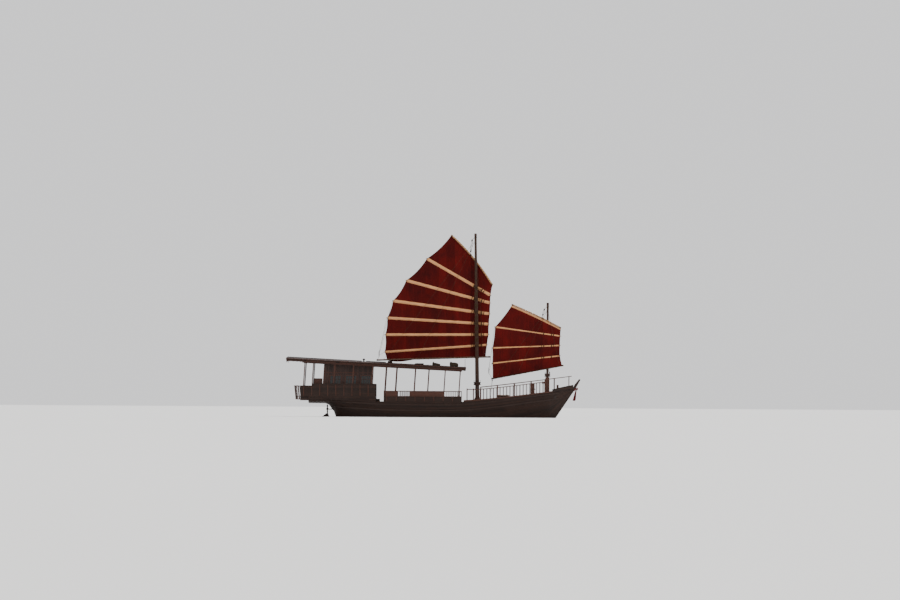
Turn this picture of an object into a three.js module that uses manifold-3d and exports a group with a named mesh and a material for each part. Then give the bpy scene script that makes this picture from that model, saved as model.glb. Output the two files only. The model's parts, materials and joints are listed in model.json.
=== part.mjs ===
// A two-masted wooden junk under sail: a decked hull, a deckhouse aft, a long canopy and two battened sails.
// Millimetres. +X points to the bow, +Y to port and +Z up. The origin is amidships, on the waterline.
import * as THREE from "three";
import { mergeVertices } from "three/addons/utils/BufferGeometryUtils.js";
import Module from "manifold-3d";

const wasm = await Module();
wasm.setup();

// Driving dimensions
const GAP = 0.4; // between pieces that touch
const RAKE = Math.tan(THREE.MathUtils.degToRad(3.5)); // posts and deckhouse lean forward as they rise

// Decks: the poop and the well are level, and the foredeck rises to the bow
const DECK = { thick: 50, poop: 1580, well: 1200, foreStart: 1290, foreRise: 980, foreCurve: 1.3 };
const BREAK_AFT = -4750; // poop meets well
const BREAK_FORE = 2000; // well meets foredeck
const BOW_END = 10450;
const COUNTER_END = -9940; // aft face of the hull proper
const POOP_END = -10900;
const BULWARK = { thick: 90, well: 1580, poop: 2390, poopHigh: 2550, poopStep: -9680, gate: 600 };

// Hull stations: x, height of the rabbet, height of the sheer, half beam at the sheer, fullness of the section
const STATIONS = [
  [-9940, 1040, 1440, 1830, 6.0],
  [-9200, 1035, 1400, 1950, 5.0],
  [-8700, 1030, 1370, 2020, 3.6],
  [-8400, 940, 1350, 2060, 1.9],
  [-8180, 640, 1340, 2090, 1.1],
  [-7980, 420, 1330, 2110, 0.86],
  [-7800, -60, 1310, 2130, 0.74],
  [-7500, -430, 1290, 2160, 0.74],
  [-7000, -700, 1260, 2200, 0.9],
  [-6000, -920, 1200, 2290, 1.45],
  [-4750, -1020, 1125, 2380, 2.15],
  [-3400, -1070, 1080, 2440, 2.8],
  [-1500, -1100, 1060, 2490, 3.2],
  [500, -1100, 1070, 2500, 3.2],
  [2000, -1088, 1110, 2455, 3.05],
  [4200, -1040, 1330, 2240, 2.7],
  [5800, -960, 1540, 1960, 2.2],
  [7100, -840, 1740, 1620, 1.75],
  [8000, -740, 1860, 1310, 1.3],
  [8600, -540, 1945, 1070, 1.05],
  [8990, 0, 2000, 890, 0.95],
  [9450, 690, 2065, 660, 0.95],
  [9950, 1430, 2140, 400, 1.0],
  [BOW_END, 2080, 2205, 130, 1.0],
].map(([x, rabbet, sheer, beam, fullness]) => ({ x, rabbet, sheer, beam, fullness }));
const HULL = { keelHalf: 90, points: 9, flare: 0.1, top: 2700 };

// Keel, stem and sternpost
const KEEL = { bottom: -1350, embed: 40, shoeEnd: -8680, shoeTop: -1230 };
const STEM = { water: 9110, rake: 0.668, headZ: 2300, hornX: 11010, hornZ: 3010, hornThick: 110 };
const RUDDER = { x: -8510, stock: 50, top: 930, thick: 80, gudgeonZ: 600 };
const PROPELLER = { x: -7990, z: -740, radius: 420, hub: 70, aft: 110, fore: 130, blades: 3, advance: 500 };
// Across a blade at shares of its radius: the share, the chord and half the thickness
const BLADE = [
  [0.12, 150, 16],
  [0.35, 230, 14],
  [0.6, 290, 11],
  [0.85, 250, 8],
  [1, 90, 6],
];

// Canopy: the crown's height falls evenly towards the bow
const ROOF = { aft: -11660, fore: 2156, aftZ: 4576, foreZ: 3890, camber: 100, thick: 50, fascia: 180 };
const HEADER = { aft: -10420, fore: 1850, width: 80, bottom: 370 };
const RAIL = { sill: 1620, wellTop: 2020, toe: 45 };
const POST = { thick: 80, tenon: 20 };
// Canopy posts: x at the top, and the height of what each stands on
const POSTS = [
  [-10208, BULWARK.poop],
  [-9548, BULWARK.poopHigh],
  [-7900, BULWARK.poopHigh],
  [-6450, BULWARK.poopHigh],
  [-5000, BULWARK.poopHigh],
  [-3960, RAIL.sill],
  [-3150, RAIL.sill],
  [-1716, RAIL.sill],
  [-678, RAIL.sill],
  [572, RAIL.sill],
  [1730, RAIL.sill],
];

// Deckhouse
const HOUSE = { aft: -8900, fore: -5110, half: 1500, wall: 60, sill: 60 };
const WINDOW = { low: 2450, high: 3150, lap: 60, glass: 8 };

// Masts: foot, rake of the axis, radius at the deck and at the head
const MAIN = { x: 3055, z: 1356, lean: -0.0166, head: 14210, foot: 165, tip: 88, collar: 2510, collarR: 285 };
const FORE = { x: 8448, z: 1980, lean: 0, head: 8890, foot: 98, tip: 80, collar: 3190, collarR: 230 };
const MAST_SIDES = 24;

// Sails. A row of battens has: aft end x and z, forward end x and z
const CLOTH = { thick: 10, hollow: 130 };
const PARREL = { play: 3, outer: 31, high: 90 };
const BATTEN = { strip: 22, tip: 70 };
const MAIN_SAIL = {
  prefix: "main",
  mast: MAIN,
  side: 1, // the cloth lies to port of the mast
  spar: 55,
  yard: [968, 14080, 4180, 10208],
  yardBend: 190,
  battens: [
    [-924, 12258, 4048, 9434, 230],
    [-2508, 10560, 4030, 8844, 230],
    [-3520, 8976, 4004, 8008, 230],
    [-3960, 7656, 3934, 7216, 210],
    [-4092, 6354, 3916, 6406, 200],
    [-4136, 5016, 3802, 5614, 170],
  ],
  boom: [-4752, 4390, 4048, 4690],
  foot: [-3960, 4400, 3696, 4690],
  sag: 150,
  sagEnd: -1700,
};
const FORE_SAIL = {
  prefix: "fore",
  mast: FORE,
  side: -1, // the cloth lies to starboard of the mast
  spar: 48,
  yard: [5650, 8738, 9486, 6934],
  yardBend: 60,
  battens: [
    [4374, 6996, 9442, 6318, 190],
    [4180, 5368, 9416, 5588, 180],
    [4176, 4180, 9416, 4796, 180],
  ],
  boom: [4110, 2985, 9690, 4058],
  foot: [4206, 3010, 9592, 4040],
  sag: 0,
  sagEnd: 4206,
};

// Materials
const paint = (color, roughness, metalness = 0) => new THREE.MeshStandardMaterial({ color, roughness, metalness });
const MATERIAL = {
  hullWood: paint(0x33211a, 0.6),
  deckWood: paint(0x8a6444, 0.75),
  trimWood: paint(0x4a2a1a, 0.5),
  canopyWood: paint(0x3a231a, 0.65),
  mastWood: paint(0x5a3520, 0.55),
  redCloth: paint(0x6a1512, 0.9),
  creamCloth: paint(0xd8b88c, 0.9),
  iron: paint(0x2b2a2a, 0.5, 0.8),
  bronze: paint(0x8a6a35, 0.4, 0.9),
  glass: paint(0x9fb2b4, 0.1),
  canvas: paint(0x6d5a40, 0.9),
};

const ship = new THREE.Group();

// Adds one named piece to a group, the ship's own unless another is given.
function add(name, geometry, material, group = ship) {
  const mesh = new THREE.Mesh(geometry, material);
  mesh.name = name;
  group.add(mesh);
  return mesh;
}

// Adds a port piece and its mirror image to starboard.
function addPair(name, geometry, material) {
  add(name + "_port", geometry, material);
  add(name + "_starboard", geometry, material).scale.y = -1;
}

// three.js geometry to a manifold solid, and back
function solid(geometry) {
  const bare = new THREE.BufferGeometry();
  bare.setAttribute("position", geometry.getAttribute("position"));
  if (geometry.index) bare.setIndex(geometry.index);
  const merged = mergeVertices(bare, 1e-3);
  return new wasm.Manifold(
    new wasm.Mesh({
      numProp: 3,
      vertProperties: merged.attributes.position.array,
      triVerts: new Uint32Array(merged.index.array),
    }),
  );
}

function geometryOf(manifold) {
  const mesh = manifold.getMesh();
  const geometry = new THREE.BufferGeometry();
  geometry.setAttribute("position", new THREE.BufferAttribute(mesh.vertProperties, 3));
  geometry.setIndex(new THREE.BufferAttribute(mesh.triVerts, 1));
  geometry.computeVertexNormals();
  return geometry;
}

const join = (...parts) => parts.reduce((a, b) => a.add(b));
const cut = (body, ...tools) => tools.reduce((a, b) => a.subtract(b), body);

// A box between two corners, as a solid
function box(x0, x1, y0, y1, z0, z1) {
  const geometry = new THREE.BoxGeometry(x1 - x0, y1 - y0, z1 - z0);
  return solid(geometry.translate((x0 + x1) / 2, (y0 + y1) / 2, (z0 + z1) / 2));
}

// A box that leans forward by the rake, measured from a level
function rakedBox(x0, x1, y0, y1, z0, z1, level = DECK.poop) {
  const geometry = new THREE.BoxGeometry(x1 - x0, y1 - y0, z1 - z0);
  geometry.translate((x0 + x1) / 2, (y0 + y1) / 2, (z0 + z1) / 2);
  return solid(geometry.applyMatrix4(rakeFrom(level)));
}

// An upright round pin that leans with the deckhouse
function rakedPin(x, y, z0, z1, radius) {
  const geometry = new THREE.CylinderGeometry(radius, radius, z1 - z0, 12).rotateX(Math.PI / 2);
  return solid(geometry.translate(x, y, (z0 + z1) / 2).applyMatrix4(rakeFrom(DECK.poop)));
}

const rakeFrom = (level) => new THREE.Matrix4().set(1, 0, RAKE, -RAKE * level, 0, 1, 0, 0, 0, 0, 1, 0, 0, 0, 0, 1);

// A closed skin over sections that all have the same number of points. A section goes out along one side and
// comes back along the other, so that its point j faces point count - 1 - j and a ladder of faces closes an end
function loft(sections) {
  const count = sections[0].length;
  const index = [];
  for (let i = 0; i + 1 < sections.length; i++)
    for (let j = 0; j < count; j++) {
      const a = i * count + j;
      const b = i * count + ((j + 1) % count);
      index.push(a, b, a + count, b, b + count, a + count);
    }
  const far = (sections.length - 1) * count;
  for (let j = 0; j + 1 < count / 2; j++) {
    const [a, b, c, d] = [j, j + 1, count - 2 - j, count - 1 - j];
    index.push(a, c, b, a, d, c);
    index.push(far + a, far + b, far + c, far + a, far + c, far + d);
  }
  const geometry = new THREE.BufferGeometry();
  geometry.setAttribute("position", new THREE.Float32BufferAttribute(sections.flat(2), 3));
  geometry.setIndex(index);
  const made = solid(geometry);
  return made.volume() < 0 ? solid(flipped(geometry)) : made;
}

function flipped(geometry) {
  const index = geometry.index.array;
  for (let i = 0; i < index.length; i += 3) [index[i + 1], index[i + 2]] = [index[i + 2], index[i + 1]];
  return geometry;
}

// An outline in the XZ plane, given as [x, z] points, as a plate from y0 to y1
function plate(outline, y0, y1) {
  const shape = new THREE.Shape(outline.map(([x, z]) => new THREE.Vector2(x, z)));
  const geometry = new THREE.ExtrudeGeometry(shape, { depth: y1 - y0, bevelEnabled: false });
  return solid(geometry.rotateX(Math.PI / 2).translate(0, y1, 0));
}

// The same outline with every edge moved out by a margin
function grown(outline, margin) {
  const points = outline.map(([x, z]) => new THREE.Vector2(x, z));
  const turn = Math.sign(THREE.ShapeUtils.area(points));
  const outward = (a, b) => new THREE.Vector2(b.y - a.y, a.x - b.x).normalize().multiplyScalar(turn);
  return points.map((point, i) => {
    const before = outward(points.at(i - 1), point);
    const after = outward(point, points[(i + 1) % points.length]);
    const reach = margin / (1 + before.dot(after));
    return [point.x + reach * (before.x + after.x), point.y + reach * (before.y + after.y)];
  });
}

// A round bar between two points
function bar(from, to, radius, sides = 10) {
  const a = new THREE.Vector3(...from);
  const b = new THREE.Vector3(...to);
  const geometry = new THREE.CylinderGeometry(radius, radius, a.distanceTo(b), sides);
  const turn = new THREE.Quaternion().setFromUnitVectors(new THREE.Vector3(0, 1, 0), b.clone().sub(a).normalize());
  geometry.applyQuaternion(turn).translate(...a.add(b).multiplyScalar(0.5).toArray());
  return solid(geometry);
}

// A shape turned about an axis that leans with a mast, from [radius, height] points
function turned(profile, [x, z], lean, sides = MAST_SIDES) {
  const points = profile.map(([r, h]) => new THREE.Vector2(r, h));
  const geometry = new THREE.LatheGeometry(points, sides).rotateX(Math.PI / 2);
  return solid(geometry.rotateY(Math.atan(lean)).translate(x, 0, z));
}

// The hull's frames: its stations, with a smooth one added half way along each wide bay
const COLUMNS = ["x", "rabbet", "sheer", "beam", "fullness"];
const slope = (k, column) => (STATIONS[k + 1][column] - STATIONS[k][column]) / (STATIONS[k + 1].x - STATIONS[k].x);

function tangent(k, column) {
  const [before, after] = [slope(Math.max(0, k - 1), column), slope(Math.min(STATIONS.length - 2, k), column)];
  return before * after <= 0 ? 0 : (2 * before * after) / (before + after);
}

function halfWay(i) {
  const bay = STATIONS[i + 1].x - STATIONS[i].x;
  const value = (column) => {
    const middle = (STATIONS[i][column] + STATIONS[i + 1][column]) / 2;
    return column === "x" ? middle : middle + ((tangent(i, column) - tangent(i + 1, column)) * bay) / 8;
  };
  return Object.fromEntries(COLUMNS.map((column) => [column, value(column)]));
}

const FRAMES = STATIONS.flatMap((station, i) => {
  const next = STATIONS[i + 1];
  return next && next.x - station.x > 1000 ? [station, halfWay(i)] : [station];
});

// Straight from frame to frame, as the planks are cut
function alongFrames(value, x) {
  const at = FRAMES.findIndex((frame) => frame.x > x);
  if (at === 0) return value(FRAMES[0]);
  if (at < 0) return value(FRAMES[FRAMES.length - 1]);
  const [a, b] = [FRAMES[at - 1], FRAMES[at]];
  return value(a) + ((value(b) - value(a)) * (x - a.x)) / (b.x - a.x);
}

const faired = (column, x) => alongFrames((frame) => frame[column], x);

// Half the hull's beam at a place and height, and above the sheer its flare
function halfBeam(x, z) {
  const [rabbet, sheer, beam, fullness] = ["rabbet", "sheer", "beam", "fullness"].map((c) => faired(c, x));
  if (z >= sheer) return beam + HULL.flare * (z - sheer);
  const s = Math.max(0, (z - rabbet) / (sheer - rabbet));
  return HULL.keelHalf + (beam - HULL.keelHalf) * (1 - (1 - s) ** fullness);
}

function foreDeck(x) {
  const rise = (frame) => (Math.max(0, frame.x - BREAK_FORE) / (BOW_END - BREAK_FORE)) ** DECK.foreCurve;
  return DECK.foreStart + DECK.foreRise * alongFrames(rise, x);
}

// Even steps from one x to another, none longer than the limit
function slices(x0, x1, step) {
  const count = Math.max(1, Math.ceil((x1 - x0) / step));
  return Array.from({ length: count + 1 }, (_, i) => x0 + ((x1 - x0) * i) / count);
}

// Both ends and every frame between them
const framesFrom = (x0, x1) => [x0, ...FRAMES.map(({ x }) => x).filter((x) => x > x0 + 20 && x < x1 - 20), x1];

// A strip along the hull's side: top and bottom heights are functions of x, and so may be how far it lies outboard
function strip(x0, x1, bottom, top, outside, inside, side = 1) {
  return loft(
    framesFrom(x0, x1).map((x) => {
      const [low, high] = [bottom(x), top(x)];
      const [yLow, yHigh] = [halfBeam(x, low), halfBeam(x, high)];
      return [
        [x, side * (yLow + outside), low],
        [x, side * (yHigh + outside), high],
        [x, side * (yHigh - inside), high],
        [x, side * (yLow - inside), low],
      ];
    }),
  );
}

// Hull, with its two wales each side
function hullSection({ x, rabbet, sheer, beam, fullness }) {
  const bulge = Math.sqrt(fullness);
  const side = [];
  for (let j = 0; j <= HULL.points; j++) {
    const left = 1 - j / HULL.points;
    const y = HULL.keelHalf + (beam - HULL.keelHalf) * (1 - left ** bulge);
    side.push([x, y, rabbet + (sheer - rabbet) * (1 - left ** (1 / bulge))]);
  }
  side.push([x, beam + HULL.flare * (HULL.top - sheer), HULL.top]);
  return [...side, ...side.map(([, y, z]) => [x, -y, z]).reverse()];
}

function keelOutline() {
  const inner = FRAMES.filter(({ x }) => x > -8200).map(({ x, rabbet }) => [x, rabbet + KEEL.embed]);
  const stemHead = STEM.water + STEM.rake * STEM.headZ;
  return [
    [-8235, 745],
    [-8180, 610],
    [-8010, 440],
    [-7885, 90],
    [-7810, -60],
    [-7720, -330],
    [-7720, KEEL.shoeTop],
    [KEEL.shoeEnd, KEEL.shoeTop],
    [KEEL.shoeEnd, KEEL.bottom],
    [7300, KEEL.bottom],
    [7850, -1290],
    [8290, -1080],
    [8570, -800],
    [stemHead, STEM.headZ],
    [STEM.hornX, STEM.hornZ - 40],
    [STEM.hornX - STEM.hornThick, STEM.hornZ],
    [stemHead - 110, 2560],
    [BOW_END - 30, 2300],
    ...inner.reverse(),
  ];
}

function aboveDecks() {
  const fore = [...framesFrom(BREAK_FORE, BOW_END), BOW_END + 200].map((x) => [x, foreDeck(x) - DECK.thick - GAP]);
  return plate(
    [
      [-12000, DECK.poop - DECK.thick - GAP],
      [BREAK_AFT, DECK.poop - DECK.thick - GAP],
      [BREAK_AFT, DECK.well - DECK.thick - GAP],
      [BREAK_FORE, DECK.well - DECK.thick - GAP],
      ...fore,
      [12000, 5000],
      [-12000, 5000],
    ],
    -4000,
    4000,
  );
}

function buildHull() {
  const y = HULL.keelHalf;
  const keelRoom = stemRoom();
  const wales = [60, 480].flatMap((drop) => {
    const top = (x) => faired("sheer", x) - drop;
    return [1, -1].map((side) => strip(-8100, 9300, (x) => top(x) - 130, top, 45, 60, side));
  });
  const shell = loft(FRAMES.map(hullSection));
  add("hull", geometryOf(cut(join(shell, ...wales), aboveDecks(), keelRoom)), MATERIAL.hullWood);

  const [sx, sz] = [RUDDER.x, RUDDER.gudgeonZ];
  const arm = box(sx, -8135, -35, 35, sz - 55, sz + 15);
  const eye = bar([sx, 0, sz - 60], [sx, 0, sz + 60], RUDDER.stock + 45, 24);
  const stockRoom = bar([sx, 0, -1000], [sx, 0, 1200], RUDDER.stock + 1, 24);
  const tube = bar([-7600, 0, PROPELLER.z], [PROPELLER.x + PROPELLER.fore, 0, PROPELLER.z], 110, 20);
  const keel = join(plate(keelOutline(), -y, y), tube, cut(join(arm, eye), stockRoom));
  add("keel_and_stem", geometryOf(keel), MATERIAL.hullWood);
}

// Decks, each up to the inside of the bulwark
function deckPlan(x0, x1, top, inset) {
  return loft(
    framesFrom(x0, x1).map((x) => {
      const [low, high] = [top(x) - DECK.thick, top(x)];
      const [yLow, yHigh] = [halfBeam(x, low) - inset, halfBeam(x, high) - inset];
      return [
        [x, yLow, low],
        [x, yHigh, high],
        [x, -yHigh, high],
        [x, -yLow, low],
      ];
    }),
  );
}

const HATCH = { x: 5050, size: 900, coaming: 140, wall: 60, lid: 50 };

function stemRoom() {
  return plate(grown(keelOutline(), GAP), -HULL.keelHalf - GAP, HULL.keelHalf + GAP);
}

function buildDecks() {
  const inset = BULWARK.thick + GAP;
  const step = box(BREAK_AFT + GAP, BREAK_AFT + 300, -1150, -350, DECK.well - 20, DECK.well + 190);
  const well = deckPlan(BREAK_AFT + GAP, BREAK_FORE - GAP, () => DECK.well, inset);
  add("well_deck", geometryOf(join(well, step)), MATERIAL.deckWood);

  const poop = deckPlan(POOP_END, BREAK_AFT, () => DECK.poop, inset);
  const half = halfBeam(COUNTER_END, DECK.poop - DECK.thick) - inset;
  const transomBeam = box(-10560, COUNTER_END - GAP, -half, half, 1250, DECK.poop - 10);
  add("poop_deck", geometryOf(join(poop, transomBeam)), MATERIAL.deckWood);

  const outside = HATCH.size / 2;
  const inside = outside - HATCH.wall;
  const [hx, base] = [HATCH.x, foreDeck(HATCH.x)];
  const coaming = cut(
    box(hx - outside, hx + outside, -outside, outside, base - 80, base + HATCH.coaming),
    box(hx - inside, hx + inside, -inside, inside, base - 90, base + 400),
    belowForeDeck(-20),
  );
  const fore = cut(deckPlan(BREAK_FORE, BOW_END, foreDeck, inset), stemRoom());
  add("foredeck", geometryOf(join(fore, coaming)), MATERIAL.deckWood);
  const top = base + HATCH.coaming + GAP;
  const lid = box(hx - outside - 20, hx + outside + 20, -outside - 20, outside + 20, top, top + HATCH.lid);
  add("hatch_lid", geometryOf(lid), MATERIAL.trimWood);
}

// Bulwarks stand on the hull's edge, outboard of the decks
const BOW_BULWARK = 8850; // its aft end

function bowTop(x) {
  return 2190 + 380 * alongFrames((frame) => (Math.max(0, frame.x - BOW_BULWARK) / (BOW_END - BOW_BULWARK)) ** 0.8, x);
}

function buildBulwarks() {
  const t = BULWARK.thick;
  const poopBase = () => DECK.poop - DECK.thick;
  const low = strip(-10560, BULWARK.poopStep, poopBase, () => BULWARK.poop, 0, t);
  const high = strip(BULWARK.poopStep - 1, BREAK_AFT, poopBase, () => BULWARK.poopHigh, 0, t);
  const cap = (x0, x1, z) => strip(x0, x1, () => z - 50, () => z, 35, t + 35);
  const lowCap = cap(-10560, BULWARK.poopStep + 90, BULWARK.poop);
  const poop = join(low, high, lowCap, cap(BULWARK.poopStep, BREAK_AFT, BULWARK.poopHigh));
  addPair("bulwark_poop", geometryOf(poop), MATERIAL.hullWood);

  const gateFore = BREAK_AFT + BULWARK.gate;
  const well = strip(gateFore, 1850, () => DECK.well - DECK.thick, () => BULWARK.well, 0, t);
  addPair("bulwark_well", geometryOf(well), MATERIAL.hullWood);

  const bow = strip(BOW_BULWARK, BOW_END, (x) => foreDeck(x) - DECK.thick, bowTop, 0, t);
  const bowCap = strip(BOW_BULWARK, BOW_END, (x) => bowTop(x) - 45, bowTop, 30, t + 20);
  const otherSide = box(0, 12000, -500, GAP / 2, 0, 5000);
  addPair("bulwark_bow", geometryOf(cut(join(bow, bowCap), stemRoom(), otherSide)), MATERIAL.hullWood);
}

// Slatted rail round the stern, leaning aft as it rises
function buildSternGallery() {
  const low = 1310;
  const lean = new THREE.Matrix4().set(1, 0, -0.11, 0.11 * low, 0, 1, 0, 0, 0, 0, 1, 0, 0, 0, 0, 1);
  const [x0, x1] = [-10860, -10562];
  const half = halfBeam(x0, DECK.poop) - 10;
  const raked = (a, b, c, d, e, f) => {
    const geometry = new THREE.BoxGeometry(b - a, d - c, f - e).translate((a + b) / 2, (c + d) / 2, (e + f) / 2);
    return solid(geometry.applyMatrix4(lean));
  };
  const parts = [];
  for (const [z, height] of [[low, 60], [BULWARK.poop - 70, 70]]) {
    parts.push(raked(x0 - 60, x0, -half, half, z, z + height));
    parts.push(raked(x0 - 60, x1, half - 60, half, z, z + height));
    parts.push(raked(x0 - 60, x1, -half, -half + 60, z, z + height));
  }
  const count = 24;
  for (let i = 0; i <= count; i++) {
    const y = -half + 30 + ((2 * half - 60) * i) / count;
    parts.push(raked(x0 - 55, x0 - 15, y - 30, y + 30, low, BULWARK.poop - 10));
  }
  for (const x of [x1 - 30, x1 - 170])
    for (const y of [half - 30, 30 - half]) parts.push(raked(x - 30, x + 30, y - 20, y + 20, low, BULWARK.poop - 10));
  const deckRoom = deckPlan(POOP_END - 1, BREAK_AFT, () => DECK.poop, BULWARK.thick);
  const bulwarkRoom = box(x1, 0, -3000, 3000, 0, 4000);
  add("stern_gallery", geometryOf(cut(join(...parts), deckRoom, bulwarkRoom)), MATERIAL.trimWood);
}

// Canopy roof
const crown = (x) => ROOF.aftZ + ((ROOF.foreZ - ROOF.aftZ) * (x - ROOF.aft)) / (ROOF.fore - ROOF.aft);
const roofHalf = (x) => 1990 + 340 * Math.sin((Math.PI / 2) * Math.min(1, (x - ROOF.aft) / 7000));

function roofSection(x, drop, inset, depth) {
  const half = roofHalf(x) - inset;
  const across = [-1, -0.75, -0.5, -0.25, 0, 0.25, 0.5, 0.75, 1];
  const at = (k, z) => [x, half * k, crown(x) - ROOF.camber * k * k - z];
  return [...across.map((k) => at(k, drop)), ...across.map((k) => at(-k, drop + depth))];
}

const roofPlaces = () => slices(ROOF.aft, ROOF.fore, 1800);
const roofInside = () => [ROOF.aft + 50, ...roofPlaces().slice(1, -1), ROOF.fore - 50];

// All that lies above the underside of the roof's boards
const aboveUnderside = () => loft(roofInside().map((x) => roofSection(x, ROOF.thick + GAP, 50, -1500)));

// Where the header beam and the posts under it stand
const yHeader = (x) => Math.min(roofHalf(x) - 150, halfBeam(x, 2000) - 45);

// One leaning canopy post, or the room for it in a rail
function postSolid([x, base], long, wide, lift) {
  const top = crown(x) - HEADER.bottom + POST.tenon;
  const foot = x - RAKE * (top - base);
  const y = yHeader(foot);
  return rakedBox(foot - long / 2, foot + long / 2, y - wide / 2, y + wide / 2, base + lift, top, base);
}

// On the roof: a low hatch, the block that the main sheet is led to, and a round vent
const ROOF_HATCH = { aft: -1760, fore: -1100, half: 330, high: 70 };
const SHEET_BLOCK = { aft: -3870, fore: -3520, half: 100, high: 130 };
const VENT = { x: -5720, profile: [[0, -60], [55, -60], [55, 110], [115, 125], [100, 180], [55, 212], [0, 222]] };

function buildCanopy() {
  const skin = loft(roofPlaces().map((x) => roofSection(x, 0, 0, ROOF.fascia)));
  const hollow = loft(roofInside().map((x) => roofSection(x, ROOF.thick, 50, 900)));
  const roofBox = ({ aft, fore, half, high }) => box(aft, fore, -half, half, crown(fore) - 30, crown(aft) + high);
  const onRoof = [roofBox(ROOF_HATCH), roofBox(SHEET_BLOCK), turned(VENT.profile, [VENT.x, crown(VENT.x)], 0, 16)];
  add("canopy_roof", geometryOf(join(cut(skin, hollow), ...onRoof)), MATERIAL.canopyWood);

  const header = loft(
    slices(HEADER.aft, HEADER.fore, 1500).map((x) => {
      const [y, w] = [yHeader(x), HEADER.width / 2];
      const [low, high] = [crown(x) - HEADER.bottom, crown(x)];
      return [
        [x, y - w, low],
        [x, y + w, low],
        [x, y + w, high],
        [x, y - w, high],
      ];
    }),
  );
  const posts = POSTS.map((post) => postSolid(post, POST.thick, POST.thick, GAP));
  addPair("canopy_frame", geometryOf(cut(join(header, ...posts), aboveUnderside())), MATERIAL.trimWood);
}

// Rails
function buildWellRails() {
  const [x0, x1] = [BREAK_AFT + BULWARK.gate, 1850];
  const t = BULWARK.thick;
  const sill = strip(x0, x1, () => BULWARK.well + GAP, () => RAIL.sill - GAP, 25, t + 25);
  const top = strip(x0, x1, () => RAIL.wellTop - 50, () => RAIL.wellTop, -15, t - 15);
  const boards = [[x0 + 150, -3080], [-2180, 520]].map(([a, b]) =>
    strip(a, b, () => RAIL.sill - 20, () => RAIL.wellTop - 20, -35, 65),
  );
  const upright = [x0 + 20, -2900, -2750, -2600, -2450, -2300, ...slices(650, 1830, 150)].map((x) => {
    const y = halfBeam(x, 1800) - t / 2;
    return box(x - 20, x + 20, y - 20, y + 20, RAIL.sill - 20, RAIL.wellTop - 20);
  });
  const standing = POSTS.filter(([, base]) => base === RAIL.sill);
  const rooms = standing.map((post) => postSolid(post, POST.thick + 4, POST.thick + 104, 0));
  addPair("rail_well", geometryOf(cut(join(sill, top, ...boards, ...upright), ...rooms)), MATERIAL.trimWood);
}

// The foredeck's rail: a toe rail, balusters under a lower rail, and a top rail that runs on to the bow
const railTop = (x) => 2370 + 880 * (Math.max(0, x - 3280) / 7000) ** 1.08;
const railLow = (x) => 2190 + 880 * (Math.max(0, x - 3280) / 7000) ** 1.08;

function buildForeRails() {
  const [x0, x1] = [2230, 8840];
  const t = BULWARK.thick;
  const toe = strip(2020, x1, (x) => foreDeck(x) - DECK.thick, (x) => foreDeck(x) + RAIL.toe, 0, t);
  const yAt = (x) => halfBeam(x, foreDeck(x)) - t / 2;
  const flat = (a, b, height, half, deep) =>
    loft(
      framesFrom(a, b).map((x) => {
        const [y, z] = [yAt(x), height(x)];
        return [
          [x, y - half, z - deep],
          [x, y + half, z - deep],
          [x, y + half, z],
          [x, y - half, z],
        ];
      }),
    );
  const bowRoom = strip(BOW_BULWARK, BOW_END, (x) => foreDeck(x) - 200, (x) => bowTop(x) + GAP, 60, 150);
  const low = flat(x0, 8300, railLow, 26, 50);
  const top = flat(3280, 10330, railTop, 30, 55);
  const stand = (x, half, height) => box(x - half, x + half, yAt(x) - half, yAt(x) + half, foreDeck(x), height);
  const balusters = [x0 + 28, 2750, ...slices(3018, 8120, 262)].map((x) => stand(x, 17, railLow(x) - 20));
  const gate = [x0 + 28, 2750].map((x) => stand(x, 30, railLow(x) + 40));
  const posts = [3310, 4600, 5900, 7200, 8270].map((x) => stand(x, 28, railTop(x) - 20));
  const upright = [...balusters, ...gate, ...posts];
  for (const x of [8980, 10110]) {
    const y = yAt(x);
    upright.push(cut(box(x - 28, x + 28, y - 28, y + 28, foreDeck(x) + 60, railTop(x) - 20), bowRoom));
  }
  addPair("rail_fore", geometryOf(join(toe, low, top, ...upright)), MATERIAL.trimWood);
}

// Deckhouse: walls with their windows cut, two doors, glass, and the helm behind the forward window
const DOOR = { width: 700, high: 1760, thick: 40, gap: 6, gapEnds: 10 };
const DOOR_FRONT = -1150; // starboard edge of each doorway
const DOOR_BACK = 400;
// The knuckles stand apart by the play, because their ends are level and the pin leans
const HINGE = { radius: 12, flap: 70, plate: 6, knuckle: 60, play: 3, heights: [300, 1400] };

// Half of each lift-off hinge: the upper knuckles are the leaf's and the lower ones the wall's. The pin's line
// stands off the wall's outer face, over the gap beside the leaf
function hingeHalves(face, out, y0, sill, onLeaf) {
  const [pinX, pinY] = [face + out * HINGE.radius, y0 + DOOR.gap / 2];
  return HINGE.heights.map((height) => {
    const low = sill + height + (onLeaf ? HINGE.knuckle + HINGE.play : 0);
    const high = low + HINGE.knuckle;
    const side = onLeaf ? 1 : -1;
    const across = [pinY + side * 4, pinY + side * HINGE.flap].sort((a, b) => a - b);
    const through = [face - out * 2, face + out * HINGE.plate].sort((a, b) => a - b);
    return join(rakedPin(pinX, pinY, low, high, HINGE.radius), rakedBox(...through, ...across, low, high));
  });
}

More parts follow.
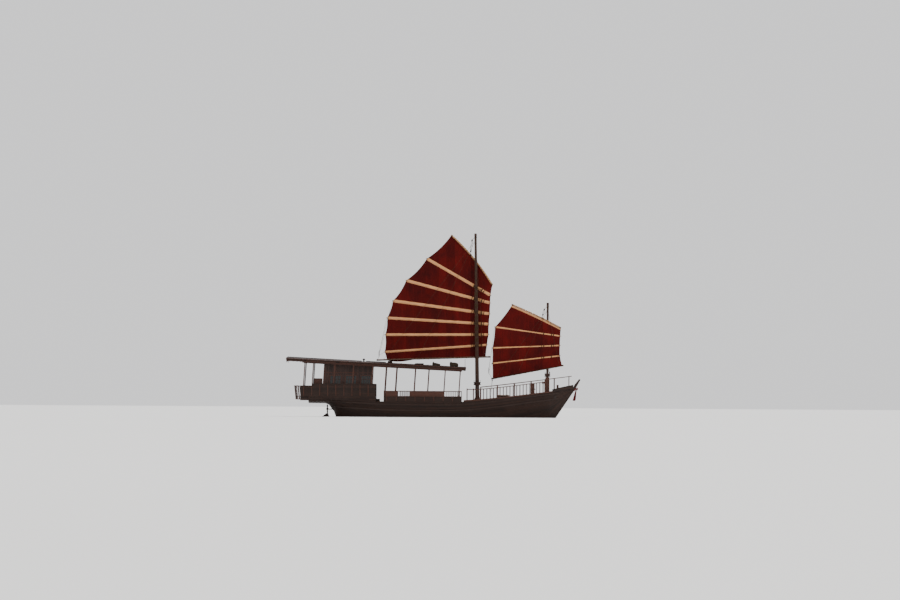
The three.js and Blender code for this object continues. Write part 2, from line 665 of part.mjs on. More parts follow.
function buildHouse() {
  const { aft, fore, half, wall } = HOUSE;
  const base = DECK.poop + GAP;
  const top = 5000;
  const under = aboveUnderside();
  const windows = [[-8350, -7550], [-7150, -6350], [-5950, -5250]].map(([a, b]) =>
    rakedBox(a, b, half - 200, half + 100, WINDOW.low, WINDOW.high),
  );
  const side = cut(rakedBox(aft, fore, half - wall, half, base, top), under, ...windows);
  addPair("house_side", geometryOf(side), MATERIAL.hullWood);

  const inner = half - wall - GAP;
  const opening = (x, y0, y1, z0, z1) => rakedBox(x - 200, x + 200, y0, y1, z0, z1);
  const sill = base + HOUSE.sill;
  const front = cut(
    rakedBox(fore - wall, fore, -inner, inner, base, top),
    under,
    opening(fore, DOOR_FRONT, DOOR_FRONT + DOOR.width, sill, sill + DOOR.high),
    opening(fore, 100, 1150, WINDOW.low, WINDOW.high),
  );
  const frontHinges = hingeHalves(fore, 1, DOOR_FRONT, sill, false);
  add("house_front", geometryOf(join(front, ...frontHinges)), MATERIAL.hullWood);
  const back = cut(
    rakedBox(aft, aft + wall, -inner, inner, base, top),
    under,
    opening(aft, DOOR_BACK, DOOR_BACK + DOOR.width, sill, sill + DOOR.high),
  );
  const backHinges = hingeHalves(aft, -1, DOOR_BACK, sill, false);
  add("house_back", geometryOf(join(back, ...backHinges)), MATERIAL.hullWood);

  const doorAt = (name, face, out, y0) => {
    const [near, far] = [face, face - out * DOOR.thick].sort((a, b) => a - b);
    const [low, high] = [sill + DOOR.gapEnds, sill + DOOR.high - DOOR.gapEnds];
    const leaf = rakedBox(near, far, y0 + DOOR.gap, y0 + DOOR.width - DOOR.gap, low, high);
    const pane = rakedBox(near - 10, far + 10, y0 + 130, y0 + DOOR.width - 130, sill + 1000, sill + 1600);
    const hinged = join(cut(leaf, pane), ...hingeHalves(face, out, y0, sill, true));
    add(name, geometryOf(hinged), MATERIAL.trimWood);
  };
  doorAt("door_front", fore, 1, DOOR_FRONT);
  doorAt("door_back", aft, -1, DOOR_BACK);

  const [glassLow, glassHigh] = [WINDOW.low - WINDOW.lap, WINDOW.high + WINDOW.lap];
  const glassSide = rakedBox(-8420, -5200, inner - WINDOW.glass, inner, glassLow, glassHigh);
  addPair("window_glass", geometryOf(glassSide), MATERIAL.glass);
  const glassX = fore - wall - GAP;
  const glassFront = rakedBox(glassX - WINDOW.glass, glassX, 40, 1210, glassLow, glassHigh);
  add("window_glass_front", geometryOf(glassFront), MATERIAL.glass);
}

const HELM = { x: -5560, y: 620, z: 2480, radius: 290 };

function buildHelm() {
  const { x, y, z, radius } = HELM;
  const stand = join(
    box(x + 70, x + 330, y - 200, y + 200, DECK.poop + GAP, 2330),
    box(x + 90, x + 200, y - 110, y + 110, 2300, z + 60),
  );
  add("helm_stand", geometryOf(stand), MATERIAL.trimWood);
  const rim = solid(new THREE.TorusGeometry(radius, 20, 6, 24).rotateY(Math.PI / 2).translate(x, y, z));
  const parts = [rim, bar([x - 30, y, z], [x + 90 - GAP, y, z], 42, 16)];
  for (let i = 0; i < 6; i++) {
    const a = (i * Math.PI) / 3;
    const reach = radius + 110;
    parts.push(bar([x, y, z], [x, y + reach * Math.cos(a), z + reach * Math.sin(a)], 14, 6));
  }
  add("helm_wheel", geometryOf(join(...parts)), MATERIAL.trimWood);
}

// Folded canvas on the roof: where each starts, half its width, and its outline as steps along and above the roof
const BUNDLE = {
  aft: {
    x: -440,
    half: 300,
    profile: [[0, -60], [0, 120], [20, 215], [60, 252], [110, 235], [170, 165], [420, 135], [620, 110], [640, -60]],
  },
  fore: {
    x: 920,
    half: 300,
    profile: [[0, -60], [0, 200], [15, 310], [50, 345], [105, 325], [160, 265], [420, 262], [630, 235], [660, -60]],
  },
};

// Fittings on deck
const BENCH = { aft: -3900, fore: 500, wide: 450, seat: 420, thick: 50, off: 30, leg: 50 };
const CASING = { aft: -9500, port: -100, starboard: -1400, top: 2950 };
const WINDLASS = { x: 7350, axle: 400, bore: 45.5, barrel: 125, half: 515, end: 45, endHalf: 760, spoke: 190 };

function buildFittings() {
  const { wide, seat, thick, off, leg } = BENCH;
  const benchY = (x) => halfBeam(x, DECK.well) - BULWARK.thick - off;
  const [under, over] = [DECK.well + seat - thick, DECK.well + seat];
  const top = loft(
    slices(BENCH.aft, BENCH.fore, 900).map((x) => {
      const y = benchY(x);
      return [
        [x, y - wide, under],
        [x, y, under],
        [x, y, over],
        [x, y - wide, over],
      ];
    }),
  );
  const legs = slices(BENCH.aft + leg, BENCH.fore - leg, 900).map((x) => {
    const y = benchY(x);
    return box(x - leg / 2, x + leg / 2, y - wide + 30, y - 30, DECK.well + GAP, over - 20);
  });
  addPair("bench", geometryOf(join(top, ...legs)), MATERIAL.deckWood);

  const casing = box(CASING.aft, HOUSE.aft - GAP, CASING.starboard, CASING.port, DECK.poop + GAP, CASING.top);
  add("engine_casing", geometryOf(casing), MATERIAL.trimWood);

  const { x: wx, bore, barrel, half, end, endHalf, spoke } = WINDLASS;
  const deck = foreDeck(wx - 200);
  const below = belowForeDeck();
  const bitts = [600, -600].map((y) => box(wx - 110, wx + 110, y - 80, y + 80, deck - 100, deck + 850));
  const sills = join(
    box(wx - 190, wx + 190, -700, 700, deck - 100, deck + 110),
    box(wx - 200, wx - 100, -690, 690, deck + 700, deck + 800),
  );
  const axleZ = deck + WINDLASS.axle;
  const across = (reach, radius, sides) => bar([wx, -reach, axleZ], [wx, reach, axleZ], radius, sides);
  const bittSolid = cut(join(...bitts, sills), across(900, bore, 24), below);
  add("windlass_bitts", geometryOf(bittSolid), MATERIAL.trimWood);
  const spokes = [-300, 0, 300].flatMap((y) =>
    [0, Math.PI / 2].map((a) => {
      const [dx, dz] = [spoke * Math.cos(a), spoke * Math.sin(a)];
      return bar([wx - dx, y, axleZ - dz], [wx + dx, y, axleZ + dz], 22, 8);
    }),
  );
  const turning = join(across(half, barrel, 12), across(endHalf, end, 24), ...spokes);
  add("windlass_barrel", geometryOf(turning), MATERIAL.mastWood);

  const bx = 9240;
  const bitt = join(
    box(bx - 80, bx + 80, -80, 80, foreDeck(bx) - 100, 2560),
    box(bx - 40, bx + 40, -210, 210, 2370, 2440),
  );
  add("bow_bitt", geometryOf(cut(bitt, below)), MATERIAL.trimWood);

  const bundle = ({ x, half, profile }) => {
    const folded = plate(profile.map(([along, rise]) => [x + along, crown(x + along) + rise]), -half, half);
    return cut(folded, loft(slices(x - 300, x + 1000, 700).map((at) => roofSection(at, -GAP, 0, 300))));
  };
  add("roof_bundle_aft", geometryOf(bundle(BUNDLE.aft)), MATERIAL.canvas);
  add("roof_bundle_fore", geometryOf(bundle(BUNDLE.fore)), MATERIAL.canvas);
}

function belowForeDeck(rise = GAP) {
  const line = framesFrom(BREAK_FORE, BOW_END).map((x) => [x, foreDeck(x) + rise]);
  return plate([[BREAK_FORE, 0], [BOW_END, 0], ...line.reverse()], -3000, 3000);
}

// Masts, turned about their own axes and leaned in a group
function mastSolid({ mast, boom }) {
  const { x, z, lean, head, foot, tip, collar, collarR } = mast;
  const length = head - z;
  const r = (h) => foot + ((tip - foot) * h) / length;
  const c = collar - z;
  // Shoulder that the boom's ring stands on
  const rest = (boomHeight(mast, boom) - z) * Math.hypot(1, lean) - PARREL.high / 2 - GAP;
  const profile = [
    [0, -80],
    [foot + 80, -80],
    [foot + 80, 110],
    [foot, 140],
    [r(c), c - 30],
    [collarR, c],
    [collarR, c + 70],
    [collarR - 60, c + 90],
    [collarR - 60, c + 130],
    [collarR, c + 150],
    [collarR, c + 220],
    [r(c + 240), c + 240],
    [r(rest - 60), rest - 60],
    [r(rest) + 26, rest - 30],
    [r(rest) + 26, rest],
    [r(rest), rest],
    [r(length - 260), length - 260],
    [r(length) + 14, length - 240],
    [r(length) + 14, length - 60],
    [r(length) - 30, length],
    [0, length],
  ];
  return turned(profile, [x, z], lean);
}

function buildMasts() {
  const below = belowForeDeck();
  add("main_mast", geometryOf(cut(mastSolid(MAIN_SAIL), below)), MATERIAL.mastWood);
  add("fore_mast", geometryOf(cut(mastSolid(FORE_SAIL), below)), MATERIAL.mastWood);

  const cheek = (side) => {
    const near = FORE.foot + 82;
    const [y0, y1] = [near, near + 60].map((y) => y * side).sort((a, b) => a - b);
    return box(FORE.x - 160, FORE.x + 160, y0, y1, 1800, FORE.collar - 60);
  };
  const fife = box(FORE.x - 420, FORE.x - 300, -330, 330, 2640, 2740);
  const links = [-1, 1].map((side) => {
    const y = side * (FORE.foot + 112);
    return box(FORE.x - 420, FORE.x - 150, y - 30, y + 30, 2640, 2740);
  });
  add("mast_cheeks", geometryOf(cut(join(cheek(1), cheek(-1), fife, ...links), belowForeDeck())), MATERIAL.trimWood);
}

// Sails: cloth, battens on both faces of the cloth, a bent yard and a boom, with a ring for each spar on its mast
const mix = (a, b, t) => a + (b - a) * t;

// A point on a spar that bends away from its chord; t runs from the aft end to the forward end
function onSpar([x0, z0, x1, z1], bend, t) {
  const length = Math.hypot(x1 - x0, z1 - z0);
  const lift = bend * 4 * t * (1 - t);
  return [mix(x0, x1, t) - (lift * (z1 - z0)) / length, mix(z0, z1, t) + (lift * (x1 - x0)) / length];
}

// Edge of the cloth from one point to another, hollowed inwards along the given direction
function hollowEdge([x0, z0], [x1, z1], hollow, sign, steps = 6) {
  const length = Math.hypot(x1 - x0, z1 - z0);
  return Array.from({ length: steps }, (_, i) => {
    const t = i / steps;
    const dip = sign * hollow * 4 * t * (1 - t);
    return [mix(x0, x1, t) + (dip * (z1 - z0)) / length, mix(z0, z1, t) - (dip * (x1 - x0)) / length];
  });
}

function clothOutline(sail) {
  const inset = BATTEN.tip;
  const pull = (row) => {
    const [x0, z0, x1, z1] = row;
    const length = Math.hypot(x1 - x0, z1 - z0);
    const [ux, uz] = [(x1 - x0) / length, (z1 - z0) / length];
    return [[x0 + ux * inset, z0 + uz * inset], [x1 - ux * inset, z1 - uz * inset]];
  };
  const rows = [pull(sail.yard), ...sail.battens.map(pull), pull(sail.foot)];
  const outline = [];
  for (let i = 0; i + 1 < rows.length; i++) {
    const span = Math.hypot(rows[i][0][0] - rows[i + 1][0][0], rows[i][0][1] - rows[i + 1][0][1]);
    outline.push(...hollowEdge(rows[i][0], rows[i + 1][0], CLOTH.hollow * Math.min(1, span / 2200) ** 1.5, -1));
  }
  const [footAft, footFore] = rows[rows.length - 1];
  const foot = 12;
  for (let i = 0; i < foot; i++) {
    const t = i / foot;
    const x = mix(footAft[0], footFore[0], t);
    const share = (x - footAft[0]) / Math.max(1, sail.sagEnd - footAft[0]);
    const dip = share < 1 ? sail.sag * Math.sin(Math.PI * share ** 0.8) : 0;
    outline.push([x, mix(footAft[1], footFore[1], t) - dip]);
  }
  for (let i = rows.length - 1; i > 0; i--) outline.push(...hollowEdge(rows[i][1], rows[i - 1][1], 25, -1, 3));
  const head = 10;
  for (let i = 0; i < head; i++) {
    const t = 1 - i / head;
    const [x, z] = onSpar([...rows[0][0], ...rows[0][1]], sail.yardBend, t);
    outline.push([x, z]);
  }
  return outline;
}

function mastRadius(mast, z) {
  return mix(mast.foot, mast.tip, (z - mast.z) / (mast.head - mast.z));
}

const mastAt = (mast, z) => mast.x + mast.lean * (z - mast.z);

function ring(mast, z, height) {
  const [inner, outer, half] = [mastRadius(mast, z) + PARREL.play, mastRadius(mast, z) + PARREL.outer, height / 2];
  const profile = [[inner, -half], [outer, -half], [outer, half], [inner, half], [inner, -half]];
  return turned(profile, [mastAt(mast, z), z], mast.lean);
}

function sparSolid(points, y, radius) {
  const path = new THREE.CatmullRomCurve3(points.map(([x, z]) => new THREE.Vector3(x, y, z)));
  const section = new THREE.Shape();
  const sides = 12;
  for (let i = 0; i < sides; i++) {
    const a = (2 * Math.PI * i) / sides;
    const [u, v] = [radius * Math.cos(a), radius * Math.sin(a)];
    if (i) section.lineTo(u, v);
    else section.moveTo(u, v);
  }
  const steps = points.length > 2 ? 12 : 1;
  return solid(new THREE.ExtrudeGeometry(section, { extrudePath: path, steps, bevelEnabled: false }));
}

function buildSail(sail) {
  const { prefix, mast, side, spar } = sail;
  const boomY = side * (mastRadius(mast, sail.boom[1]) + 15 + spar);
  const clothY = boomY + side * (spar + GAP + CLOTH.thick / 2);
  const half = CLOTH.thick / 2;
  const outline = clothOutline(sail);
  const cloth = plate(outline, clothY - half, clothY + half);
  add(prefix + "_sail_cloth", geometryOf(cloth), MATERIAL.redCloth);

  const room = plate(grown(outline, 4), clothY - half - GAP, clothY + half + GAP);
  sail.battens.forEach(([x0, z0, x1, z1, width], i) => {
    const length = Math.hypot(x1 - x0, z1 - z0);
    const depth = CLOTH.thick + 2 * BATTEN.strip;
    const geometry = new THREE.BoxGeometry(length, depth, width);
    geometry.rotateY(-Math.atan2(z1 - z0, x1 - x0)).translate((x0 + x1) / 2, clothY, (z0 + z1) / 2);
    add(`${prefix}_batten_${i + 1}`, geometryOf(cut(solid(geometry), room)), MATERIAL.creamCloth);
  });

  const held = (z) => {
    const r = mastRadius(mast, z) + 20;
    const x = mastAt(mast, z);
    const reach = boomY - side * (spar - 10);
    const [y0, y1] = [side * r, reach].sort((a, b) => a - b);
    return join(ring(mast, z, PARREL.high), box(x - 45, x + 45, y0, y1, z - 35, z + 35));
  };
  const curve = Array.from({ length: 7 }, (_, i) => onSpar(sail.yard, sail.yardBend, i / 6));
  const crossing = crossZ(curve, mast);
  const yard = cut(join(sparSolid(curve, boomY, spar), held(crossing)), room);
  add(prefix + "_yard", geometryOf(yard), MATERIAL.mastWood);
  const [bx0, bz0, bx1, bz1] = sail.boom;
  const boom = join(sparSolid([[bx0, bz0], [bx1, bz1]], boomY, spar), held(boomHeight(mast, sail.boom)));
  add(prefix + "_boom", geometryOf(cut(boom, room)), MATERIAL.mastWood);
}

// Height at which a boom passes its mast
function boomHeight(mast, [x0, z0, x1, z1]) {
  return mix(z0, z1, (mastAt(mast, (z0 + z1) / 2) - x0) / (x1 - x0));
}

// Height at which a bent spar passes its mast
function crossZ(curve, mast) {
  for (let i = 0; i + 1 < curve.length; i++) {
    const [[xa, za], [xb, zb]] = [curve[i], curve[i + 1]];
    const x = mastAt(mast, (za + zb) / 2);
    if (xa <= x && x <= xb) return mix(za, zb, (x - xa) / (xb - xa));
  }
  return curve[0][1];
}

// Rudder and propeller
function buildSteering() {
  const { x, stock, top, thick } = RUDDER;
  const outline = [
    [-8230, -1190],
    [-8230, -80],
    [-8350, 0],
    [-8440, 240],
    [-8500, 300],
    [-8580, 270],
    [-8880, 40],
    [-9080, -160],
    [-9200, -520],
    [-9180, -900],
    [-9080, -1190],
  ];
  const blade = plate(outline, -thick / 2, thick / 2);
  const post = bar([x, 0, KEEL.shoeTop + GAP], [x, 0, top], stock, 24);
  add("rudder", geometryOf(join(blade, post)), MATERIAL.hullWood);

  const { aft, fore, hub, blades, z } = PROPELLER;
  const parts = [bar([PROPELLER.x - aft, 0, z], [PROPELLER.x + fore - GAP, 0, z], hub, 20)];
  for (let i = 0; i < blades; i++) parts.push(propellerBlade((2 * Math.PI * (i + 0.1)) / blades));
  add("propeller", geometryOf(join(...parts)), MATERIAL.bronze);
}

function propellerBlade(turn) {
  const section = [[-1, -0.35], [0, -1], [1, -0.35], [1, 0.35], [0, 1], [-1, 0.35]];
  return loft(
    BLADE.map(([share, chord, half]) => {
      const r = share * PROPELLER.radius;
      const pitch = Math.atan2(PROPELLER.advance, 2 * Math.PI * Math.max(r, 60));
      const [c, s] = [Math.cos(pitch), Math.sin(pitch)];
      return section.map(([u, v]) => {
        const across = (u * chord * c) / 2 - v * half * s;
        const along = (u * chord * s) / 2 + v * half * c;
        return [
          PROPELLER.x + along,
          r * Math.cos(turn) - across * Math.sin(turn),
          PROPELLER.z + r * Math.sin(turn) + across * Math.cos(turn),
        ];
      });
    }),
  );
}

// Ribbon tied round the stem head, hanging in front of the stem
function buildRibbon() {
  const outline = [
    [10655, 2330],
    [10780, 2380],
    [10800, 2200],
    [10720, 2130],
    [10640, 2090],
    [10650, 1330],
    [10400, 1330],
    [10520, 2100],
    [10560, 2200],
  ];
  const cloth = plate(outline, -45, 45);
  const tie = cut(
    plate([[10480, 2130], [10560, 2080], [10700, 2260], [10620, 2330]], -115, 115),
    box(10000, 11000, -HULL.keelHalf - 0.6, HULL.keelHalf + 0.6, 1000, 2600),
  );
  const tail = join(
    plate([[10560, 2080], [10700, 2260], [10760, 2200], [10640, 2000]], -115, 115),
    cloth,
  );
  add("bow_ribbon", geometryOf(cut(join(tie, tail), stemRoom())), MATERIAL.redCloth);
}

buildHull();
buildDecks();
buildBulwarks();
buildSternGallery();
buildCanopy();
buildWellRails();
buildForeRails();
buildHouse();
buildHelm();
buildFittings();
buildMasts();
buildSail(MAIN_SAIL);
buildSail(FORE_SAIL);
buildSteering();
buildRibbon();

export default ship;
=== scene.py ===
"""Dresses the solids of a two-masted junk: planking, sailcloth, bamboo battens, rigging and deck gear."""
import json
import math

import bmesh
import bpy
from bpy.props import FloatProperty, FloatVectorProperty, IntProperty, PointerProperty
from mathutils import Matrix, Vector, noise
from mathutils.bvhtree import BVHTree

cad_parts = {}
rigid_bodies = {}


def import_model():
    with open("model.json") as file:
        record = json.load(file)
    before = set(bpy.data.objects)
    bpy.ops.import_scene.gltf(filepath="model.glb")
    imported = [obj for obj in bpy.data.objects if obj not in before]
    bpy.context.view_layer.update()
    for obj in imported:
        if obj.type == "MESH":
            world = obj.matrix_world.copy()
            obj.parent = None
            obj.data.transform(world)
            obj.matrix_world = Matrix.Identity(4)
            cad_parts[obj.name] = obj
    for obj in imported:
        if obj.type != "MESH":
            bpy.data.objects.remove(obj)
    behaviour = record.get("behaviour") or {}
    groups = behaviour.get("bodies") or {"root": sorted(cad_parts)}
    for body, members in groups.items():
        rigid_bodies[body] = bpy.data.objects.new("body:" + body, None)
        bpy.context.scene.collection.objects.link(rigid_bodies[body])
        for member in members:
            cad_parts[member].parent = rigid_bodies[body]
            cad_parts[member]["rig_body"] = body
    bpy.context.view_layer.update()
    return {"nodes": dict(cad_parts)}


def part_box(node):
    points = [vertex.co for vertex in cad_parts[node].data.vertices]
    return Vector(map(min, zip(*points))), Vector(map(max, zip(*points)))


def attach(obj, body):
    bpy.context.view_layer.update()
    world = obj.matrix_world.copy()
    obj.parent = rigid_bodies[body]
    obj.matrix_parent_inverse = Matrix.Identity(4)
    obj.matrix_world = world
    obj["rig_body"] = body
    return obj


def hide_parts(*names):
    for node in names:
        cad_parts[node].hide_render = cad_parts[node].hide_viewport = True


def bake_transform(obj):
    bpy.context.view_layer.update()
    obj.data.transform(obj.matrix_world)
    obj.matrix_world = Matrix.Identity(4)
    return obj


bl_info = {
    "name": "Chinese Junk Ship",
    "version": (1, 0, 0),
    "blender": (4, 5, 0),
    "location": "View3D > Sidebar > Junk Ship",
    "description": "Planks, sails and rigging for the solids of a two-masted junk",
    "category": "Object",
}

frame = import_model()
NODES = frame["nodes"]

# Everything is in metres. +X points to the bow, +Y to port, +Z up from the waterline
RAKE = math.tan(math.radians(3.5))  # the posts and the deckhouse lean forward as they rise
POOP_LEVEL = 1.58

MAIN_MAST = {"x": 3.055, "z": 1.356, "lean": -0.0166, "head": 14.21, "foot": 0.165, "tip": 0.088}
FORE_MAST = {"x": 8.448, "z": 1.98, "lean": 0.0, "head": 8.89, "foot": 0.098, "tip": 0.08}

# Each row across a sail: after end x and z, forward end x and z, and for a batten its sleeve's width
MAIN_SAIL = {
    "name": "main",
    "mast": MAIN_MAST,
    "side": 1,
    "leech_hollow": 0.130,
    "head_drop": 0.0,
    "head_sleeve": 0.0,
    "spar": 0.055,
    "yard": (0.968, 14.080, 4.180, 10.208),
    "bend": 0.190,
    "battens": [
        (-0.924, 12.258, 4.048, 9.434, 0.23),
        (-2.508, 10.560, 4.030, 8.844, 0.23),
        (-3.520, 8.976, 4.004, 8.008, 0.23),
        (-3.960, 7.656, 3.934, 7.216, 0.21),
        (-4.092, 6.354, 3.916, 6.406, 0.20),
        (-4.136, 5.016, 3.802, 5.614, 0.17),
    ],
    "boom": (-4.752, 4.390, 4.048, 4.690),
    "foot": (-3.960, 4.400, 3.696, 4.690),
    "sag": 0.150,
    "sag_end": -1.700,
}
FORE_SAIL = {
    "name": "fore",
    "mast": FORE_MAST,
    "side": -1,
    "leech_hollow": 0.055,
    "head_drop": 0.075,
    "head_sleeve": 0.105,
    "spar": 0.048,
    "yard": (5.650, 8.738, 9.486, 6.934),
    "bend": 0.060,
    "battens": [
        (4.374, 6.996, 9.442, 6.318, 0.19),
        (4.180, 5.368, 9.416, 5.588, 0.18),
        (4.176, 4.180, 9.416, 4.796, 0.18),
    ],
    "boom": (4.110, 2.985, 9.690, 4.058),
    "foot": (4.206, 3.010, 9.592, 4.040),
    "sag": 0.0,
    "sag_end": 4.206,
}
LUFF_HOLLOW, CLOTH_INSET = 0.015, 0.025
# The pins in each mast's collar: height, radius of their ring, number
PIN_RINGS = {"main": (2.73, 0.255, 8), "fore": (3.41, 0.200, 6)}

# Each row is a station of the hull: x, height of the rabbet, height of the sheer, half beam, fullness
STATIONS = [
    (-9.94, 1.040, 1.440, 1.830, 6.00),
    (-9.20, 1.035, 1.400, 1.950, 5.00),
    (-8.70, 1.030, 1.370, 2.020, 3.60),
    (-8.40, 0.940, 1.350, 2.060, 1.90),
    (-8.18, 0.640, 1.340, 2.090, 1.10),
    (-7.98, 0.420, 1.330, 2.110, 0.86),
    (-7.80, -0.060, 1.310, 2.130, 0.74),
    (-7.50, -0.430, 1.290, 2.160, 0.74),
    (-7.00, -0.700, 1.260, 2.200, 0.90),
    (-6.00, -0.920, 1.200, 2.290, 1.45),
    (-4.75, -1.020, 1.125, 2.380, 2.15),
    (-3.40, -1.070, 1.080, 2.440, 2.80),
    (-1.50, -1.100, 1.060, 2.490, 3.20),
    (0.50, -1.100, 1.070, 2.500, 3.20),
    (2.00, -1.088, 1.110, 2.455, 3.05),
    (4.20, -1.040, 1.330, 2.240, 2.70),
    (5.80, -0.960, 1.540, 1.960, 2.20),
    (7.10, -0.840, 1.740, 1.620, 1.75),
    (8.00, -0.740, 1.860, 1.310, 1.30),
    (8.60, -0.540, 1.945, 1.070, 1.05),
    (8.99, 0.000, 2.000, 0.890, 0.95),
    (9.45, 0.690, 2.065, 0.660, 0.95),
    (9.95, 1.430, 2.140, 0.400, 1.00),
    (10.45, 2.080, 2.205, 0.130, 1.00),
]
RABBET, SHEER, BEAM, FULLNESS = 1, 2, 3, 4
KEEL_HALF, FLARE = 0.09, 0.1
BREAK_AFT, BREAK_FORE, BOW_END = -4.75, 2.0, 10.45
POOP_UNDER, WELL_UNDER, DECK_THICK = 1.53, 1.15, 0.05
WINDOWS = [(-8.35, -7.55), (-7.15, -6.35), (-5.95, -5.25)]
WINDOW_LOW, WINDOW_HIGH = 2.45, 3.15
HOUSE_AFT, HOUSE_FORE, HOUSE_HALF = -8.90, -5.11, 1.50
ROOF_AFT, ROOF_FORE, ROOF_AFT_Z, ROOF_FORE_Z, ROOF_CAMBER = -11.66, 2.156, 4.576, 3.890, 0.100
SHEET_BLOCK = Vector((-3.695, 0.0, 4.325))


def mix(a, b, t):
    return a + (b - a) * t


def slope(k, column):
    a, b = STATIONS[k], STATIONS[k + 1]
    return (b[column] - a[column]) / (b[0] - a[0])


def tangent(k, column):
    before, after = slope(max(0, k - 1), column), slope(min(len(STATIONS) - 2, k), column)
    return 0.0 if before * after <= 0 else 2 * before * after / (before + after)


def faired(column, x):
    """A column of the stations as a smooth line that overshoots none of them"""
    k = next((i for i in range(len(STATIONS) - 1) if x <= STATIONS[i + 1][0]), len(STATIONS) - 2)
    a, b = STATIONS[k], STATIONS[k + 1]
    bay = b[0] - a[0]
    t = min(max((x - a[0]) / bay, 0.0), 1.0)
    ease = t * t * (3 - 2 * t)
    bends = (t - 2 * t * t + t**3) * tangent(k, column) - (t * t - t**3) * tangent(k + 1, column)
    return mix(a[column], b[column], ease) + bay * bends


def half_beam(x, z):
    """Half the hull's width at a place and height, with its flare above the sheer"""
    rabbet, sheer, beam, fullness = (faired(c, x) for c in (RABBET, SHEER, BEAM, FULLNESS))
    if z >= sheer:
        return beam + FLARE * (z - sheer)
    share = max(0.0, (z - rabbet) / (sheer - rabbet))
    return KEEL_HALF + (beam - KEEL_HALF) * (1 - (1 - share) ** fullness)


def fore_deck(x):
    return 1.29 + 0.98 * (max(0.0, x - BREAK_FORE) / (BOW_END - BREAK_FORE)) ** 1.3


def roof_crown(x):
    return mix(ROOF_AFT_Z, ROOF_FORE_Z, (x - ROOF_AFT) / (ROOF_FORE - ROOF_AFT))


def roof_half(x):
    return 1.990 + 0.340 * math.sin(math.pi / 2 * min(1.0, (x - ROOF_AFT) / 7.0))


def roof_at(x, y):
    return roof_crown(x) - ROOF_CAMBER * (y / roof_half(x)) ** 2


def mast_radius(mast, z):
    return mix(mast["foot"], mast["tip"], (z - mast["z"]) / (mast["head"] - mast["z"]))


def mast_point(mast, z):
    return Vector((mast["x"] + mast["lean"] * (z - mast["z"]), 0.0, z))


def boom_offset(sail):
    return sail["side"] * (mast_radius(sail["mast"], sail["boom"][1]) + 0.015 + sail["spar"])


def cloth_offset(sail):
    return boom_offset(sail) + sail["side"] * (sail["spar"] + 0.0054)


# Settings that a user would change


def length_setting(name, description, default, low, high):
    return FloatProperty(
        name=name, description=description, default=default, min=low, max=high, unit="LENGTH"
    )


def colour_setting(name, description, default):
    return FloatVectorProperty(
        name=name, description=description, default=default, subtype="COLOR", min=0, max=1
    )


class JunkTimberSettings(bpy.types.PropertyGroup):
    """Sizes and colours of the woodwork"""

    deck_board: length_setting("Deck board", "Width of a deck plank", 0.15, 0.05, 0.5)
    wall_board: length_setting("Wall board", "Width of a deckhouse board", 0.19, 0.05, 0.5)
    seam: length_setting("Seam", "Depth and half width of a plank seam", 0.004, 0.001, 0.02)
    edge: length_setting("Rounded edge", "Rounding of a timber's edges", 0.008, 0.001, 0.05)
    hull_colour: colour_setting("Hull", "Oiled hull planks", (0.020, 0.0080, 0.0045))
    wall_colour: colour_setting("Walls", "Deckhouse boards", (0.034, 0.013, 0.008))
    deck_colour: colour_setting("Deck", "Worn deck planks", (0.120, 0.064, 0.032))
    trim_colour: colour_setting("Trim", "Varnished rails, posts and doors", (0.052, 0.014, 0.006))
    canopy_colour: colour_setting("Canopy", "Roof boards", (0.022, 0.009, 0.006))
    mast_colour: colour_setting("Masts", "Masts and spars", (0.036, 0.012, 0.006))


class JunkSailSettings(bpy.types.PropertyGroup):
    """Sizes and colours of the sails"""

    cloth_colour: colour_setting("Sailcloth", "Tanned red sailcloth", (0.054, 0.0026, 0.0022))
    sleeve_colour: colour_setting("Batten sleeve", "Undyed cloth sleeves", (0.560, 0.265, 0.118))
    billow: length_setting("Billow", "How far a panel fills between battens", 0.055, 0, 0.2)
    cloth: length_setting("Cloth thickness", "Thickness of the sailcloth", 0.004, 0.001, 0.01)
    seam_step: length_setting("Cloth width", "Distance between sewn seams", 0.62, 0.2, 2)


class JunkRiggingSettings(bpy.types.PropertyGroup):
    """Sizes and colours of the ropes"""

    rope_colour: colour_setting("Rope", "Tarred hemp rope", (0.052, 0.030, 0.017))
    halyard: length_setting("Halyard", "Radius of a halyard", 0.013, 0.003, 0.05)
    sheet_line: length_setting("Sheet line", "Radius of a sheet's lines", 0.010, 0.003, 0.05)
    lashing: length_setting("Lashing", "Radius of lacing and lashings", 0.007, 0.002, 0.03)
    sides: IntProperty(name="Rope sides", description="Faces round a rope", default=6, min=4, max=12)


class JunkStageSettings(bpy.types.PropertyGroup):
    """Floor, light and camera"""

    floor_colour: colour_setting("Floor", "Pale floor", (0.84, 0.83, 0.81))
    eye_height: length_setting("Eye height", "Camera above the floor", 0.79, 0.1, 20)
    eye_place: length_setting("Eye place", "Camera forward of amidships", 0.90, -20, 20)
    distance: length_setting("Distance", "Camera to ship", 400.0, 20, 900)
    view_width: length_setting("View width", "Width of the picture at the ship", 69.45, 20, 200)
    horizon: FloatProperty(
        name="Horizon",
        description="Horizon below the picture's middle, as a share of its width",
        default=0.119,
    )
    roll: FloatProperty(
        name="Roll", description="Roll of the camera", default=math.radians(0.34), subtype="ANGLE"
    )


def settings():
    return bpy.context.scene.junk_ship


class JunkShipSettings(bpy.types.PropertyGroup):
    """All of the ship's settings"""

    timber: PointerProperty(type=JunkTimberSettings, name="Timber", description="Woodwork")
    sails: PointerProperty(type=JunkSailSettings, name="Sails", description="Sailcloth and sleeves")
    rigging: PointerProperty(type=JunkRiggingSettings, name="Rigging", description="Ropes")
    stage: PointerProperty(type=JunkStageSettings, name="Stage", description="Floor, light and camera")


# Finishes


